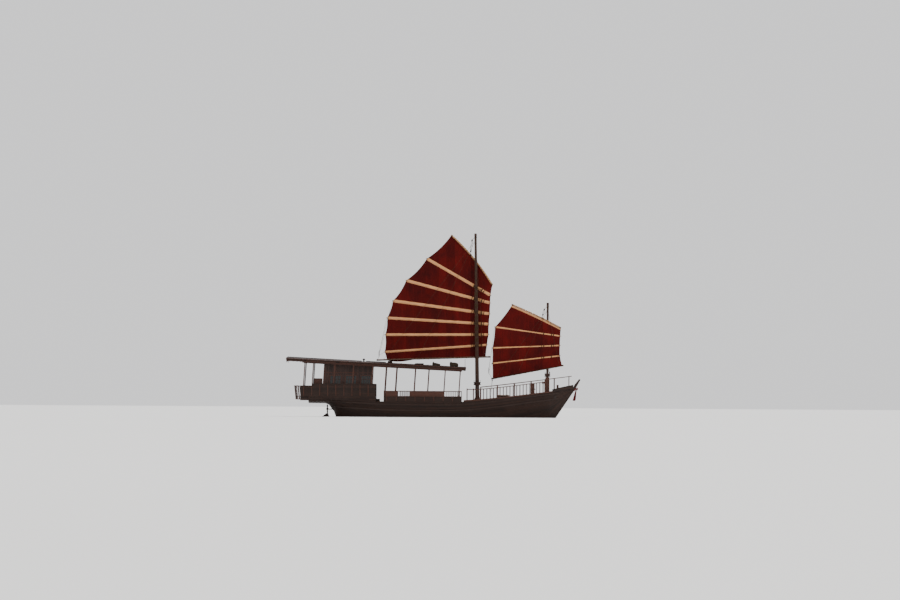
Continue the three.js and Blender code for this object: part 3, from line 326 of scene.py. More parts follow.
def node(tree, kind, inputs=None, **values):
    made = tree.nodes.new(kind)
    for key, value in values.items():
        setattr(made, key, value)
    for key, value in (inputs or {}).items():
        if isinstance(value, bpy.types.NodeSocket):
            tree.links.new(value, made.inputs[key])
        else:
            made.inputs[key].default_value = value
    return made


def maths(tree, operation, *values):
    return node(tree, "ShaderNodeMath", dict(enumerate(values)), operation=operation).outputs[0]


def ranged(tree, value, low, high, to_low, to_high):
    inputs = {"Value": value, "From Min": low, "From Max": high, "To Min": to_low, "To Max": to_high}
    return node(tree, "ShaderNodeMapRange", inputs).outputs[0]


def blended(tree, factor, a, b, mode="MIX"):
    made = node(tree, "ShaderNodeMix", {0: factor, 6: a, 7: b}, data_type="RGBA", blend_type=mode)
    return made.outputs[2]


def placed(tree, vector, scale):
    return node(tree, "ShaderNodeMapping", {"Vector": vector, "Scale": scale}).outputs[0]


def speckle(tree, vector, scale, detail, rough=0.55, twist=0.0):
    inputs = {"Vector": vector, "Scale": scale, "Detail": detail, "Roughness": rough, "Distortion": twist}
    return node(tree, "ShaderNodeTexNoise", inputs).outputs[0]


def washed(tree, pattern, low, high, most, under, over):
    """Lays one colour over another, more and more as a pattern rises from low to high"""
    return blended(tree, ranged(tree, pattern, low, high, 0.0, most), under, over)


def diced(tree, index):
    """A number from 0 to 1 of its own for every board or strip"""
    return node(tree, "ShaderNodeTexWhiteNoise", {"W": index}, noise_dimensions="1D").outputs[0]


def tinted(tree, shade, index, low, high):
    """Makes each board or strip lighter or darker than the next"""
    tint = ranged(tree, diced(tree, index), 0.0, 1.0, low, high)
    grey = node(tree, "ShaderNodeCombineColor", {0: tint, 1: tint, 2: tint}).outputs[0]
    return blended(tree, 1.0, shade, grey, "MULTIPLY")


def opened(name, roughness=0.5, **sockets):
    """A new material, its node tree, its shader and the object's own coordinates"""
    made = bpy.data.materials.new(name)
    made.use_nodes = True
    tree = made.node_tree
    shader = tree.nodes["Principled BSDF"]
    shader.inputs["Roughness"].default_value = roughness
    for key, value in sockets.items():
        shader.inputs[key.replace("_", " ")].default_value = value
    where = node(tree, "ShaderNodeTexCoord")
    return made, tree, shader, where


def bumped(tree, shader, height, distance, strength):
    made = node(tree, "ShaderNodeBump", {"Height": height, "Distance": distance, "Strength": strength})
    tree.links.new(made.outputs[0], shader.inputs["Normal"])


def coloured(tree, shader, shade, pattern, smooth, rough):
    """Joins a colour to a shader, and a roughness that follows a pattern"""
    tree.links.new(shade, shader.inputs["Base Color"])
    tree.links.new(ranged(tree, pattern, 0.3, 0.7, smooth, rough), shader.inputs["Roughness"])


def rgba(colour, gain=1.0):
    return (*(min(1.0, c * gain) for c in colour), 1.0)


def wood(name, colour, grain, boards, rough, coat, worn=0.5, seam=0.05, butts=0.0):
    """Grain along one axis. boards is an axis or the name of an attribute, and a board's width in it.
    butts is how far apart a board's end joints are, along X"""
    made, tree, shader, where = opened(name, Coat_Weight=coat, Coat_Roughness=0.3, Specular_IOR_Level=0.2)
    at = where.outputs["Object"]
    stretch = {"X": (0.5, 7, 7), "Y": (7, 0.5, 7), "Z": (7, 7, 0.5)}[grain]
    fibres = speckle(tree, placed(tree, at, stretch), 5.0, 8.0, 0.6, 0.35)
    patches = speckle(tree, at, 0.9, 5.0, 0.6)
    figure = speckle(tree, placed(tree, at, tuple(s * 0.35 for s in stretch)), 3.0, 3.0, 0.5, 1.4)
    shade = washed(tree, fibres, 0.3, 0.7, 1.0, rgba(colour, 0.55), rgba(colour, 1.45))
    shade = washed(tree, figure, 0.45, 0.62, 0.5, shade, rgba(colour, 0.6))
    red, green, blue = (mix(c, 0.035, 0.40) for c in colour)
    shade = washed(tree, patches, 0.5, 0.75, worn, shade, rgba((red * 1.15, green * 0.9, blue * 0.75)))
    height = maths(tree, "MULTIPLY", fibres, 0.25)
    if boards:
        axis, width = boards
        split = node(tree, "ShaderNodeSeparateXYZ", {0: at})
        if axis in "XYZ":
            run = split.outputs[axis]
        else:
            run = node(tree, "ShaderNodeAttribute", attribute_name=axis).outputs["Fac"]
        index = maths(tree, "FLOOR", maths(tree, "DIVIDE", run, width))
        edge = maths(tree, "PINGPONG", run, width / 2)
        gap = ranged(tree, edge, width * seam * 0.4, width * seam, 1.0, 0.0)
        if butts:
            along = maths(tree, "MULTIPLY_ADD", diced(tree, index), butts * 3.7, split.outputs["X"])
            length = maths(tree, "FLOOR", maths(tree, "DIVIDE", along, butts))
            index = maths(tree, "MULTIPLY_ADD", length, 7.31, index)
            joint = ranged(tree, maths(tree, "PINGPONG", along, butts / 2), 0.003, 0.006, 1.0, 0.0)
            gap = maths(tree, "MAXIMUM", gap, joint)
        shade = tinted(tree, shade, index, 0.62, 1.28)
        shade = blended(tree, gap, shade, rgba(colour, 0.12))
        height = maths(tree, "SUBTRACT", height, gap)
    coloured(tree, shader, shade, fibres, rough - 0.08, rough + 0.14)
    bumped(tree, shader, height, 0.006, 0.5)
    return made


def metal(name, colour, rough=0.45, rust=(0.10, 0.035, 0.015), share=0.5):
    """Dull metal with rust or verdigris in patches"""
    made, tree, shader, where = opened(name, Metallic=0.85)
    at = where.outputs["Object"]
    stains = speckle(tree, at, 7.0, 8.0, 0.65)
    shade = washed(tree, stains, 0.48, 0.62, share, rgba(colour), rgba(rust))
    coloured(tree, shader, shade, stains, rough - 0.1, rough + 0.3)
    bumped(tree, shader, speckle(tree, at, 60.0, 3.0), 0.002, 0.4)
    return made


def weave(tree, at, threads):
    """Height of a plain weave, from two crossed bands in the cloth's own coordinates"""
    bands = []
    for direction in ("X", "Y"):
        inputs = {"Vector": at, "Scale": threads, "Distortion": 0.4, "Detail": 1.0}
        bands.append(node(tree, "ShaderNodeTexWave", inputs, bands_direction=direction).outputs["Fac"])
    return maths(tree, "MULTIPLY", *bands)


def stitched(tree, across, along, place, reach, step):
    """Mask of one line of stitches at a place across a cloth"""
    near = maths(tree, "ABSOLUTE", maths(tree, "SUBTRACT", across, place))
    line = ranged(tree, near, reach * 0.5, reach, 1.0, 0.0)
    dash = maths(tree, "GREATER_THAN", maths(tree, "FRACT", maths(tree, "DIVIDE", along, step)), 0.4)
    return maths(tree, "MULTIPLY", line, dash)


def sailcloth(name, colour, step):
    """Woven cloth in strips sewn side by side, with doubled seams, faded patches and creases"""
    made, tree, shader, where = opened(name, Sheen_Weight=0.05, Sheen_Roughness=0.5, Specular_IOR_Level=0.08)
    at = where.outputs["UV"]
    split = node(tree, "ShaderNodeSeparateXYZ", {0: at})
    across, along = split.outputs["X"], split.outputs["Y"]
    clouds = speckle(tree, at, 0.7, 6.0, 0.6, 0.6)
    streaks = speckle(tree, placed(tree, at, (3.0, 0.5, 1)), 1.6, 5.0, 0.6, 0.4)
    dirt = speckle(tree, at, 9.0, 6.0, 0.7)
    shade = washed(tree, clouds, 0.3, 0.7, 1.0, rgba(colour, 0.68), rgba(colour, 1.5))
    shade = washed(tree, streaks, 0.5, 0.75, 0.55, shade, rgba(colour, 1.9))
    shade = washed(tree, dirt, 0.55, 0.8, 0.5, shade, rgba(colour, 0.35))
    strip = maths(tree, "FLOOR", maths(tree, "DIVIDE", across, step))
    shade = tinted(tree, shade, strip, 0.78, 1.2)
    edge = maths(tree, "PINGPONG", across, step / 2)
    lap = ranged(tree, edge, 0.012, 0.022, 1.0, 0.0)
    thread = stitched(tree, edge, along, 0.018, 0.004, 0.03)
    shade = blended(tree, maths(tree, "MULTIPLY", lap, 0.55), shade, rgba(colour, 0.3))
    shade = blended(tree, thread, shade, rgba(colour, 2.6))
    coloured(tree, shader, shade, clouds, 0.78, 0.95)
    creases = speckle(tree, placed(tree, at, (1.0, 2.6, 1)), 3.2, 4.0, 0.55, 1.2)
    height = maths(tree, "ADD", maths(tree, "MULTIPLY", creases, 1.6), maths(tree, "MULTIPLY", lap, 0.25))
    height = maths(tree, "ADD", height, maths(tree, "MULTIPLY", weave(tree, at, 90.0), 0.05))
    bumped(tree, shader, height, 0.02, 0.55)
    return made


def sleeve_cloth(name, colour):
    """Undyed cloth, lighter and more orange along the middle of each face over the batten, with a stitched
    line inside each edge.
    The uv map's x runs from 0 to 1 round the sleeve"""
    made, tree, shader, where = opened(name, Sheen_Weight=0.1, Specular_IOR_Level=0.15)
    at = where.outputs["UV"]
    split = node(tree, "ShaderNodeSeparateXYZ", {0: at})
    across, along = split.outputs["X"], split.outputs["Y"]
    stains = speckle(tree, placed(tree, at, (1.5, 0.8, 1)), 2.2, 7.0, 0.65, 0.5)
    middle = maths(tree, "PINGPONG", across, 0.25)
    shade = washed(tree, stains, 0.35, 0.7, 0.8, rgba(colour), rgba(colour, 0.5))
    # Lighter and more orange along the middle of each face, over the batten
    shade = washed(tree, middle, 0.14, 0.24, 0.4, shade, rgba((0.62, 0.33, 0.13)))
    thread = stitched(tree, middle, along, 0.045, 0.012, 0.05)
    shade = blended(tree, thread, shade, rgba(colour, 0.18))
    coloured(tree, shader, shade, stains, 0.72, 0.92)
    wrinkles = speckle(tree, placed(tree, at, (2.0, 9.0, 1)), 2.0, 4.0, 0.6, 0.8)
    bumped(tree, shader, maths(tree, "SUBTRACT", wrinkles, thread), 0.01, 0.6)
    return made


def bamboo(name, colour):
    """Cane with a dark line at every joint, in coordinates that run round and along the pole"""
    made, tree, shader, where = opened(name, Coat_Weight=0.1, Specular_IOR_Level=0.3)
    at = where.outputs["UV"]
    along = node(tree, "ShaderNodeSeparateXYZ", {0: at}).outputs["Y"]
    joint = ranged(tree, maths(tree, "PINGPONG", along, 0.21), 0.0, 0.016, 1.0, 0.0)
    fibres = speckle(tree, placed(tree, at, (14.0, 0.6, 1)), 3.0, 6.0, 0.6)
    shade = washed(tree, fibres, 0.35, 0.7, 1.0, rgba(colour, 0.7), rgba(colour, 1.5))
    shade = blended(tree, joint, shade, rgba(colour, 0.3))
    coloured(tree, shader, shade, fibres, 0.35, 0.6)
    bumped(tree, shader, maths(tree, "ADD", fibres, joint), 0.004, 0.5)
    return made


def rope_fibre(name, colour):
    """Three strands laid up slantwise, with painted shade in the grooves between them, in coordinates that
    run round and along the rope
    """
    made, tree, shader, where = opened(name, roughness=0.9, Specular_IOR_Level=0.15)
    at = where.outputs["UV"]
    split = node(tree, "ShaderNodeSeparateXYZ", {0: at})
    lay = maths(tree, "ADD", maths(tree, "MULTIPLY", split.outputs["X"], 3.0), split.outputs["Y"])
    strand = maths(tree, "PINGPONG", lay, 0.5)
    hairs = speckle(tree, at, 12.0, 4.0)
    # Painted shade: dark in the grooves between the strands, a little lighter on their crowns
    shade = washed(tree, strand, 0.05, 0.3, 1.0, rgba(colour, 0.3), rgba(colour, 1.15))
    shade = washed(tree, hairs, 0.45, 0.75, 0.6, shade, rgba(colour, 1.8))
    coloured(tree, shader, shade, hairs, 0.8, 0.98)
    bumped(tree, shader, strand, 0.004, 0.8)
    return made


def canvas(name, colour):
    """Tarred canvas with creases, and painted shade along its folds"""
    made, tree, shader, where = opened(name, Sheen_Weight=0.05, Specular_IOR_Level=0.15)
    at = where.outputs["Object"]
    stains = speckle(tree, at, 3.0, 6.0, 0.65)
    folds = speckle(tree, placed(tree, at, (1.0, 0.35, 1.0)), 9.0, 5.0, 0.6, 0.8)
    shade = washed(tree, stains, 0.35, 0.7, 1.0, rgba(colour, 0.6), rgba(colour, 1.3))
    # Painted shade: the canvas is darker along its folds
    shade = washed(tree, folds, 0.5, 0.7, 0.5, shade, rgba(colour, 0.45))
    coloured(tree, shader, shade, stains, 0.8, 0.95)
    height = maths(tree, "ADD", folds, maths(tree, "MULTIPLY", weave(tree, at, 160.0), 0.15))
    bumped(tree, shader, height, 0.006, 0.6)
    return made


def window_pane(name):
    """Dark glass with smears"""
    made, tree, shader, where = opened(name, Coat_Weight=0.15, Coat_Roughness=0.05, Specular_IOR_Level=0.3)
    smears = speckle(tree, placed(tree, where.outputs["Object"], (1, 1, 0.4)), 3.0, 5.0)
    shade = blended(tree, smears, (0.006, 0.008, 0.009, 1), (0.018, 0.022, 0.021, 1))
    tree.links.new(shade, shader.inputs["Base Color"])
    tree.links.new(ranged(tree, smears, 0.35, 0.7, 0.06, 0.24), shader.inputs["Roughness"])
    return made


def floor_paint(name, colour):
    """Pale paint with faint clouds"""
    made, tree, shader, where = opened(name)
    clouds = speckle(tree, where.outputs["Object"], 0.02, 3.0)
    shade = blended(tree, clouds, rgba(colour, 0.97), rgba(colour, 1.03))
    coloured(tree, shader, shade, clouds, 0.75, 0.85)
    return made


def finish_table():
    """Every finish by its name, with the function that makes it and its values"""
    timber, sails, rigging = settings().timber, settings().sails, settings().rigging
    deck, wall = timber.deck_board, timber.wall_board
    hull = timber.hull_colour
    return {
        "hull_planks": (wood, hull, "X", ("strake", 1.0), 0.55, 0.05, 0.35, 0.03, 5.6),
        "hull_timber": (wood, hull, "X", None, 0.5, 0.06),
        "bulwark_boards": (wood, hull, "X", ("Z", 0.17), 0.5, 0.06),
        "wall_boards": (wood, timber.wall_colour, "Z", ("lean", wall), 0.45, 0.15, 0.3),
        "deck_planks": (wood, timber.deck_colour, "X", ("Y", deck), 0.65, 0.0, 0.6, 0.05, 4.3),
        "seat_planks": (wood, timber.deck_colour, "X", None, 0.6, 0.05),
        "trim_varnish": (wood, timber.trim_colour, "X", None, 0.4, 0.2, 0.3),
        "post_varnish": (wood, timber.trim_colour, "Z", None, 0.4, 0.2, 0.3),
        "roof_boards": (wood, timber.canopy_colour, "X", ("Y", deck), 0.75, 0.0, 0.4, 0.05, 3.6),
        "rafter_wood": (wood, timber.canopy_colour, "Y", None, 0.7, 0.0, 0.4),
        "mast_timber": (wood, timber.mast_colour, "Z", None, 0.45, 0.12, 0.4),
        "block_wood": (wood, timber.mast_colour, "Z", None, 0.5, 0.2, 0.5),
        "spar_bamboo": (bamboo, (0.310, 0.160, 0.068)),
        "boom_bamboo": (bamboo, (0.070, 0.032, 0.016)),
        "batten_bamboo": (bamboo, (0.270, 0.160, 0.070)),
        "sailcloth": (sailcloth, sails.cloth_colour, sails.seam_step),
        "red_ribbon": (sailcloth, (0.085, 0.004, 0.004), 0.5),
        "sleeve_cloth": (sleeve_cloth, sails.sleeve_colour),
        "rope": (rope_fibre, rigging.rope_colour),
        "tarred_canvas": (canvas, (0.040, 0.028, 0.019)),
        "iron": (metal, (0.045, 0.043, 0.042)),
        "cast_bronze": (metal, (0.30, 0.17, 0.07), 0.35, (0.05, 0.10, 0.07), 0.6),
        "glass": (window_pane,),
        "floor": (floor_paint, settings().stage.floor_colour),
    }


def finish(name):
    """A finish, made when it is first asked for"""
    maker, *values = finish_table()[name]
    return bpy.data.materials.get(name) or maker(name, *values)


# Shapes


def in_order(bm):
    """Sorts a mesh's faces by their lowest points. An extruded edge leaves its faces in no fixed order"""
    bm.verts.index_update()
    many = len(bm.verts)

    def rank(face):
        a, b, c, *_ = sorted(vert.index for vert in face.verts)
        return (a * many + b) * many + c

    bm.faces.sort(key=rank)


def shown(name, bm, material, body, replaces=(), edge=0.0, sharp=35.0, thick=0.0):
    """Turns a mesh into a finished piece that rides on a body"""
    mesh = bpy.data.meshes.new(name)
    bm.normal_update()
    in_order(bm)
    bm.to_mesh(mesh)
    bm.free()
    # Normals copied from a solid no longer fit its cut and bevelled faces
    stale = mesh.attributes.get("custom_normal")
    if stale:
        mesh.attributes.remove(stale)
    for face in mesh.polygons:
        face.use_smooth = True
    mesh.set_sharp_from_angle(angle=math.radians(sharp))
    made = bpy.data.objects.new(name, mesh)
    bpy.context.scene.collection.objects.link(made)
    mesh.materials.append(finish(material))
    if thick:
        wall = made.modifiers.new("Thickness", "SOLIDIFY")
        wall.thickness, wall.offset = thick, 0.0
    if edge:
        rounded = made.modifiers.new("Rounded edges", "BEVEL")
        rounded.width, rounded.segments, rounded.limit_method = edge, 2, "ANGLE"
        rounded.angle_limit, rounded.harden_normals = math.radians(40), True
    if body:
        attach(made, body)
    if replaces:
        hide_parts(*replaces)
    return made


def copied(name, flatness=1.0):
    """A merged copy of a CAD node's mesh, with its flat faces whole again"""
    bm = bmesh.new()
    bm.from_mesh(NODES[name].data)
    bmesh.ops.remove_doubles(bm, verts=bm.verts, dist=2e-5)
    bmesh.ops.dissolve_limit(bm, angle_limit=math.radians(flatness), verts=bm.verts, edges=bm.edges)
    return bm


def sliced(bm, point, normal):
    """Cuts a mesh with a plane, gives the cut's points and edges, and leaves both halves"""
    geometry = bm.verts[:] + bm.edges[:] + bm.faces[:]
    return bmesh.ops.bisect_plane(bm, geom=geometry, plane_co=point, plane_no=normal, dist=1e-5)["geom_cut"]


def boarded(bm, planes, facing, gap):
    """Cuts the mesh along parallel planes and sets every board that faces the right way proud of its seams"""
    for point, normal in planes:
        for part in sliced(bm, point, normal):
            if isinstance(part, bmesh.types.BMEdge):
                part.seam = True
    flat = math.radians(0.5)
    bmesh.ops.dissolve_limit(bm, angle_limit=flat, verts=bm.verts, edges=bm.edges, delimit={"SEAM"})
    for edge in bm.edges:
        edge.seam = False
    bm.normal_update()
    faces = [face for face in bm.faces if facing(face) and face.calc_area() > 3 * gap * face.calc_perimeter()]
    bmesh.ops.inset_individual(bm, faces=faces, thickness=gap, depth=gap)


def facing_up(face):
    return face.normal.z > 0.9


def deck_planes(step, count):
    """Upright planes along the ship, a plank apart, with as many on each side of the middle"""
    return [((0, step * k, 0), (0, 1, 0)) for k in range(-count, count + 1)]


def block(bm, low, high, matrix=None):
    """A box between two corners, to be rounded by its piece's bevel"""
    made = bmesh.ops.create_cube(bm, size=1.0)["verts"]
    low, high = Vector(low), Vector(high)
    bmesh.ops.scale(bm, vec=high - low, verts=made)
    bmesh.ops.translate(bm, vec=(low + high) / 2, verts=made)
    if matrix:
        bmesh.ops.transform(bm, matrix=matrix, verts=made)
    return made


def raked():
    """Leans a shape as the deckhouse leans, from the poop deck up"""
    lean = Matrix.Identity(4)
    lean[0][2], lean[0][3] = RAKE, -RAKE * POOP_LEVEL
    return lean


def faces_on(verts):
    """Every face that has one of these points, once and in an order that is the same in every run"""
    return list(dict.fromkeys(face for vert in verts for face in vert.link_faces))


def upright(centre, direction=(0, 0, 1)):
    """Places a shape made round the Z axis at a point, along a direction"""
    return Matrix.Translation(centre) @ Vector(direction).to_track_quat("Z", "Y").to_matrix().to_4x4()


def turned(bm, profile, matrix, steps):
    """Spins an outline of radii and heights round Z. An outline that starts and ends on the axis closes"""
    verts = [bm.verts.new((radius, 0, height)) for radius, height in profile]
    edges = [bm.edges.new(pair) for pair in zip(verts, verts[1:])]
    before = set(bm.verts) - set(verts)
    bmesh.ops.spin(
        bm, geom=verts + edges, cent=(0, 0, 0), axis=(0, 0, 1), angle=2 * math.pi, steps=steps, use_merge=True
    )
    made = [vert for vert in bm.verts if vert not in before]
    bmesh.ops.remove_doubles(bm, verts=made, dist=1e-6)
    made = [vert for vert in bm.verts if vert not in before]
    bmesh.ops.recalc_face_normals(bm, faces=faces_on(made))
    bmesh.ops.transform(bm, matrix=matrix, verts=made)
    return made


def hoop(bm, matrix, inner, outer, high, steps):
    """A flat ring with softened edges"""
    soft = min(outer - inner, high) * 0.2
    profile = [
        (inner, -high / 2),
        (outer - soft, -high / 2),
        (outer, soft - high / 2),
        (outer, high / 2 - soft),
        (outer - soft, high / 2),
        (inner, high / 2),
        (inner, -high / 2),
    ]
    return turned(bm, profile, matrix, steps)


def swept(bm, path, section, up=(0, 0, 1), closed=False, lap=1.0):
    """Carries a ring of points along a path. section gives the ring, across and up, at a share of the way.
    The uv map runs round the ring from 0 to 1, and along the path in metres over lap"""
    up = Vector(up)
    path = [Vector(point) for point in path]
    layer = bm.loops.layers.uv.verify()
    count = len(path)
    places, travelled = [], 0.0
    for i, point in enumerate(path):
        if closed:
            before, after = path[i - 1], path[(i + 1) % count]
        else:
            before, after = path[max(0, i - 1)], path[min(count - 1, i + 1)]
        ahead = (after - before).normalized()
        across = square_to(ahead, up)
        lift = across.cross(ahead)
        spots = [point + across * a + lift * b for a, b in section(i / max(1, count - 1))]
        places.append((travelled, spots))
        if i + 1 < count:
            travelled += (path[i + 1] - point).length
    size = len(places[0][1])
    ring = bmesh.ops.create_circle(bm, segments=size, radius=1.0, cap_ends=False)["verts"]
    for vert, spot in zip(ring, places[0][1]):
        vert.co = spot
    first, rings = ring, [ring]
    for _, spots in places[1:]:
        edges = [bm.edges.get(pair) for pair in pairs_round(ring)]
        fresh = bmesh.ops.extrude_edge_only(bm, edges=edges)["geom"]
        fresh = {item for item in fresh if isinstance(item, bmesh.types.BMVert)}
        ring = []
        for vert in rings[-1]:
            ring.append(next(e.other_vert(vert) for e in vert.link_edges if e.other_vert(vert) in fresh))
        for vert, spot in zip(ring, spots):
            vert.co = spot
        rings.append(ring)
    if closed:
        for (a, b), (c, d) in zip(pairs_round(ring), pairs_round(first)):
            bm.faces.new((a, b, d, c))
    else:
        for end in (first, ring):
            bmesh.ops.contextual_create(bm, geom=[bm.edges.get(pair) for pair in pairs_round(end)])
    seat = {}
    for row, verts in enumerate(rings):
        for column, vert in enumerate(verts):
            seat[vert] = (column, row)
    made = [vert for verts in rings for vert in verts]
    faces = faces_on(made)
    bmesh.ops.recalc_face_normals(bm, faces=faces)
    for face in faces:
        columns = [seat[loop.vert][0] for loop in face.loops]
        rows = [seat[loop.vert][1] for loop in face.loops]
        wraps = len(face.loops) == 4 and max(columns) - min(columns) > 1
        turns = closed and max(rows) - min(rows) > 1
        for loop, column, row in zip(face.loops, columns, rows):
            u = (column + size if wraps and column == 0 else column) / size
            v = places[row][0] if not (turns and row == 0) else travelled
            loop[layer].uv = (u, v / lap)
    return made


def pairs_round(ring):
    """Each thing in a ring with the one after it"""
    return list(zip(ring, ring[1:] + ring[:1]))


def square_to(ahead, up):
    """The level direction across a path, or any direction across it where it runs straight up"""
    across = ahead.cross(Vector(up))
    return across.normalized() if across.length > 1e-3 else ahead.orthogonal().normalized()


def steady(corners):
    """A section that stays the same all along"""
    return lambda share: corners


def bar(wide, high):
    """The section of a squared timber, from half its width and half its height"""
    return steady([(-wide, -high), (wide, -high), (wide, high), (-wide, high)])


def round_section(radius, sides):
    angles = [2 * math.pi * i / sides for i in range(sides)]
    return steady([(radius * math.cos(a), radius * math.sin(a)) for a in angles])


def rope(bm, path, radius, sides=None, closed=False):
    count = sides or settings().rigging.sides
    ahead = Vector(path[-1]) - Vector(path[0])
    up = (0, 1, 0) if abs(ahead.normalized().z) > 0.7 else (0, 0, 1)
    return swept(bm, path, round_section(radius, count), up, closed, lap=radius * 7)


def line(start, end, sag=0.0, steps=10):
    """Points along a rope that hangs a little between its ends"""
    start, end = Vector(start), Vector(end)
    points = []
    for i in range(steps + 1):
        t = i / steps
        points.append(start.lerp(end, t) - Vector((0, 0, sag * 4 * t * (1 - t))))
    return points


def helix(start, end, radius, turns, per_turn):
    """Points that wind round the line between two points"""
    start, end = Vector(start), Vector(end)
    ahead = (end - start).normalized()
    across = square_to(ahead, (0, 0, 1))
    lift = across.cross(ahead)
    count = max(4, int(turns * per_turn))
    points = []
    for i in range(count + 1):
        angle = 2 * math.pi * turns * i / count
        out = across * (radius * math.cos(angle)) + lift * (radius * math.sin(angle))
        points.append(start.lerp(end, i / count) + out)
    return points


def bamboo_pole(bm, path, radius, sides, thin=0.93):
    """A pole with a raised joint every so often, which thins a little towards its forward end"""
    step, bevel = 0.42, 0.006
    path = [Vector(point) for point in path]
    lengths = [0.0]
    for a, b in zip(path, path[1:]):
        lengths.append(lengths[-1] + (b - a).length)
    total = lengths[-1]

    def at(run):
        run = min(max(run, 0.0), total)
        k = next((i for i in range(1, len(lengths)) if run <= lengths[i] + 1e-9), len(lengths) - 1)
        return path[k - 1].lerp(path[k], (run - lengths[k - 1]) / max(1e-9, lengths[k] - lengths[k - 1]))

    runs, sizes = [0.0, bevel], [radius * 0.8, radius]
    place = step * 0.6
    while place < total - 0.1:
        for offset, size in ((-0.03, 0.985), (-0.008, 1.05), (0.008, 1.05), (0.03, 0.985), (step / 2, 0.96)):
            if place + offset < total - 0.02:
                runs.append(place + offset)
                sizes.append(radius * size * mix(1.0, thin, (place + offset) / total))
        place += step
    runs += [total - bevel, total]
    sizes += [radius * thin, radius * thin * 0.8]
    last = len(runs) - 1
    spots = [at(run) for run in runs]
    return swept(bm, spots, lambda share: round_section(sizes[round(share * last)], sides)(0))


def pulley(bm, centre, size, direction, facing):
    """A wooden block: two cheeks, the wheel between them and its pin"""
    direction, facing = Vector(direction).normalized(), Vector(facing)
    side = (facing - direction * facing.dot(direction)).normalized()
    turn = Matrix((side.cross(direction), side, direction)).transposed().to_4x4()
    place = Matrix.Translation(centre) @ turn
    for way in (-1, 1):
        cheek = bmesh.ops.create_uvsphere(bm, u_segments=14, v_segments=8, radius=0.5)["verts"]
        bmesh.ops.scale(bm, vec=(0.72 * size, 0.26 * size, size), verts=cheek)
        bmesh.ops.translate(bm, vec=(0, way * 0.17 * size, 0), verts=cheek)
        bmesh.ops.transform(bm, matrix=place, verts=cheek)
    across = place @ Matrix.Rotation(math.pi / 2, 4, "X")
    wheel = [(0, -0.08), (0.26, -0.08), (0.3, -0.06), (0.25, 0), (0.3, 0.06), (0.26, 0.08), (0, 0.08)]
    turned(bm, [(r * size, h * size) for r, h in wheel], across, 14)
    pin = [(0, -0.33), (0.07, -0.33), (0.07, 0.33), (0, 0.33)]
    turned(bm, [(r * size, h * size) for r, h in pin], across, 8)


def surface_of(name):
    """A node's surface, for rays to meet"""
    bm = bmesh.new()
    bm.from_mesh(NODES[name].data)
    tree = BVHTree.FromBMesh(bm)
    bm.free()
    return tree


def outboard(tree, x, z, side):
    """Where a level line from far outboard meets a node's surface"""
    spot = tree.ray_cast(Vector((x, side * 6.0, z)), Vector((0, -side, 0)))[0]
    return None if spot is None else spot.y


def draped(columns, rows, spot):
    """A sheet as a grid. spot gives, for shares across and up, a point's place and where it lies flat"""
    bm = bmesh.new()
    layer = bm.loops.layers.uv.verify()
    flat = {}
    for vert in bmesh.ops.create_grid(bm, x_segments=columns, y_segments=rows, size=0.5)["verts"]:
        vert.co, flat[vert] = spot(vert.co.x + 0.5, vert.co.y + 0.5)
    for face in bm.faces:
        for loop in face.loops:
            loop[layer].uv = flat[loop.vert]
    return bm, flat


def repainted(name, material):
    """Gives a node's own mesh a finish"""
    mesh = NODES[name].data
    mesh.materials.clear()
    mesh.materials.append(finish(material))


def sides():
    return (("port", 1), ("starboard", -1))


# The hull and its planking


def timbered(table):
    """Pieces that take a node's shape as it is, with rounded edges and a finish"""
    edge = settings().timber.edge
    for name, piece, material, slot, share in table:
        body = NODES[name]["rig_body"]
        shown(piece, copied(name), material, body, (name,), edge=edge * share)


def girth_points(x, shares):
    """Points up the port side from the rabbet to the sheer, at shares of the way round, with the way that
    each faces, and the whole way round"""
    rabbet, sheer, beam, fullness = (faired(c, x) for c in (RABBET, SHEER, BEAM, FULLNESS))
    bulge, steps = math.sqrt(fullness), 60
    side = []
    for j in range(steps + 1):
        left = 1 - j / steps
        out = KEEL_HALF + (beam - KEEL_HALF) * (1 - left**bulge)
        side.append(Vector((out, mix(sheer, rabbet, left ** (1 / bulge)))))
    run = [0.0]
    for a, b in zip(side, side[1:]):
        run.append(run[-1] + (b - a).length)
    points, k = [], 1
    for share in shares:
        want = share * run[-1]
        while k < steps and run[k] < want:
            k += 1
        a, b = side[k - 1], side[k]
        along = (b - a).normalized()
        points.append((a.lerp(b, (want - run[k - 1]) / (run[k] - run[k - 1])), Vector((along.y, -along.x))))
    return points, run[-1]


def spaced(*legs):
    """Numbers from a start to the last leg's end. Each leg: where it ends and how long its steps are"""
    numbers = [legs[0]]
    for end, step in legs[1:]:
        start = numbers[-1]
        count = max(1, round(abs(end - start) / step))
        numbers += [mix(start, end, i / count) for i in range(1, count + 1)]
    return numbers


def planked(bm, xs, shares, place, side):
    """A grid of planks: place gives, for an x, the point and the plank number at each share"""
    layer = bm.verts.layers.float.get("strake") or bm.verts.layers.float.new("strake")
    columns, rows = len(xs) - 1, len(shares) - 1
    grid = bmesh.ops.create_grid(bm, x_segments=columns, y_segments=rows, size=0.5)["verts"]
    lines = [place(x) for x in xs]
    for vert in grid:
        column, row = round((vert.co.x + 0.5) * columns), round((vert.co.y + 0.5) * rows)
        point, number = lines[column][row]
        vert.co = (point.x, side * point.y, point.z)
        vert[layer] = number
    if side > 0:
        bmesh.ops.reverse_faces(bm, faces=faces_on(grid))


def plank_rows(count):
    """Where a row of points lies on each plank: in the seam, just inside both edges, and in the middle"""
    return [k + f for k in range(count) for f in (0.0, 0.05, 0.5, 0.95)] + [float(count)]


def plank_relief(number):
    """Down in a seam, up on a plank"""
    f = number % 1
    return -1.0 if f < 0.01 or f > 0.99 else 1.0


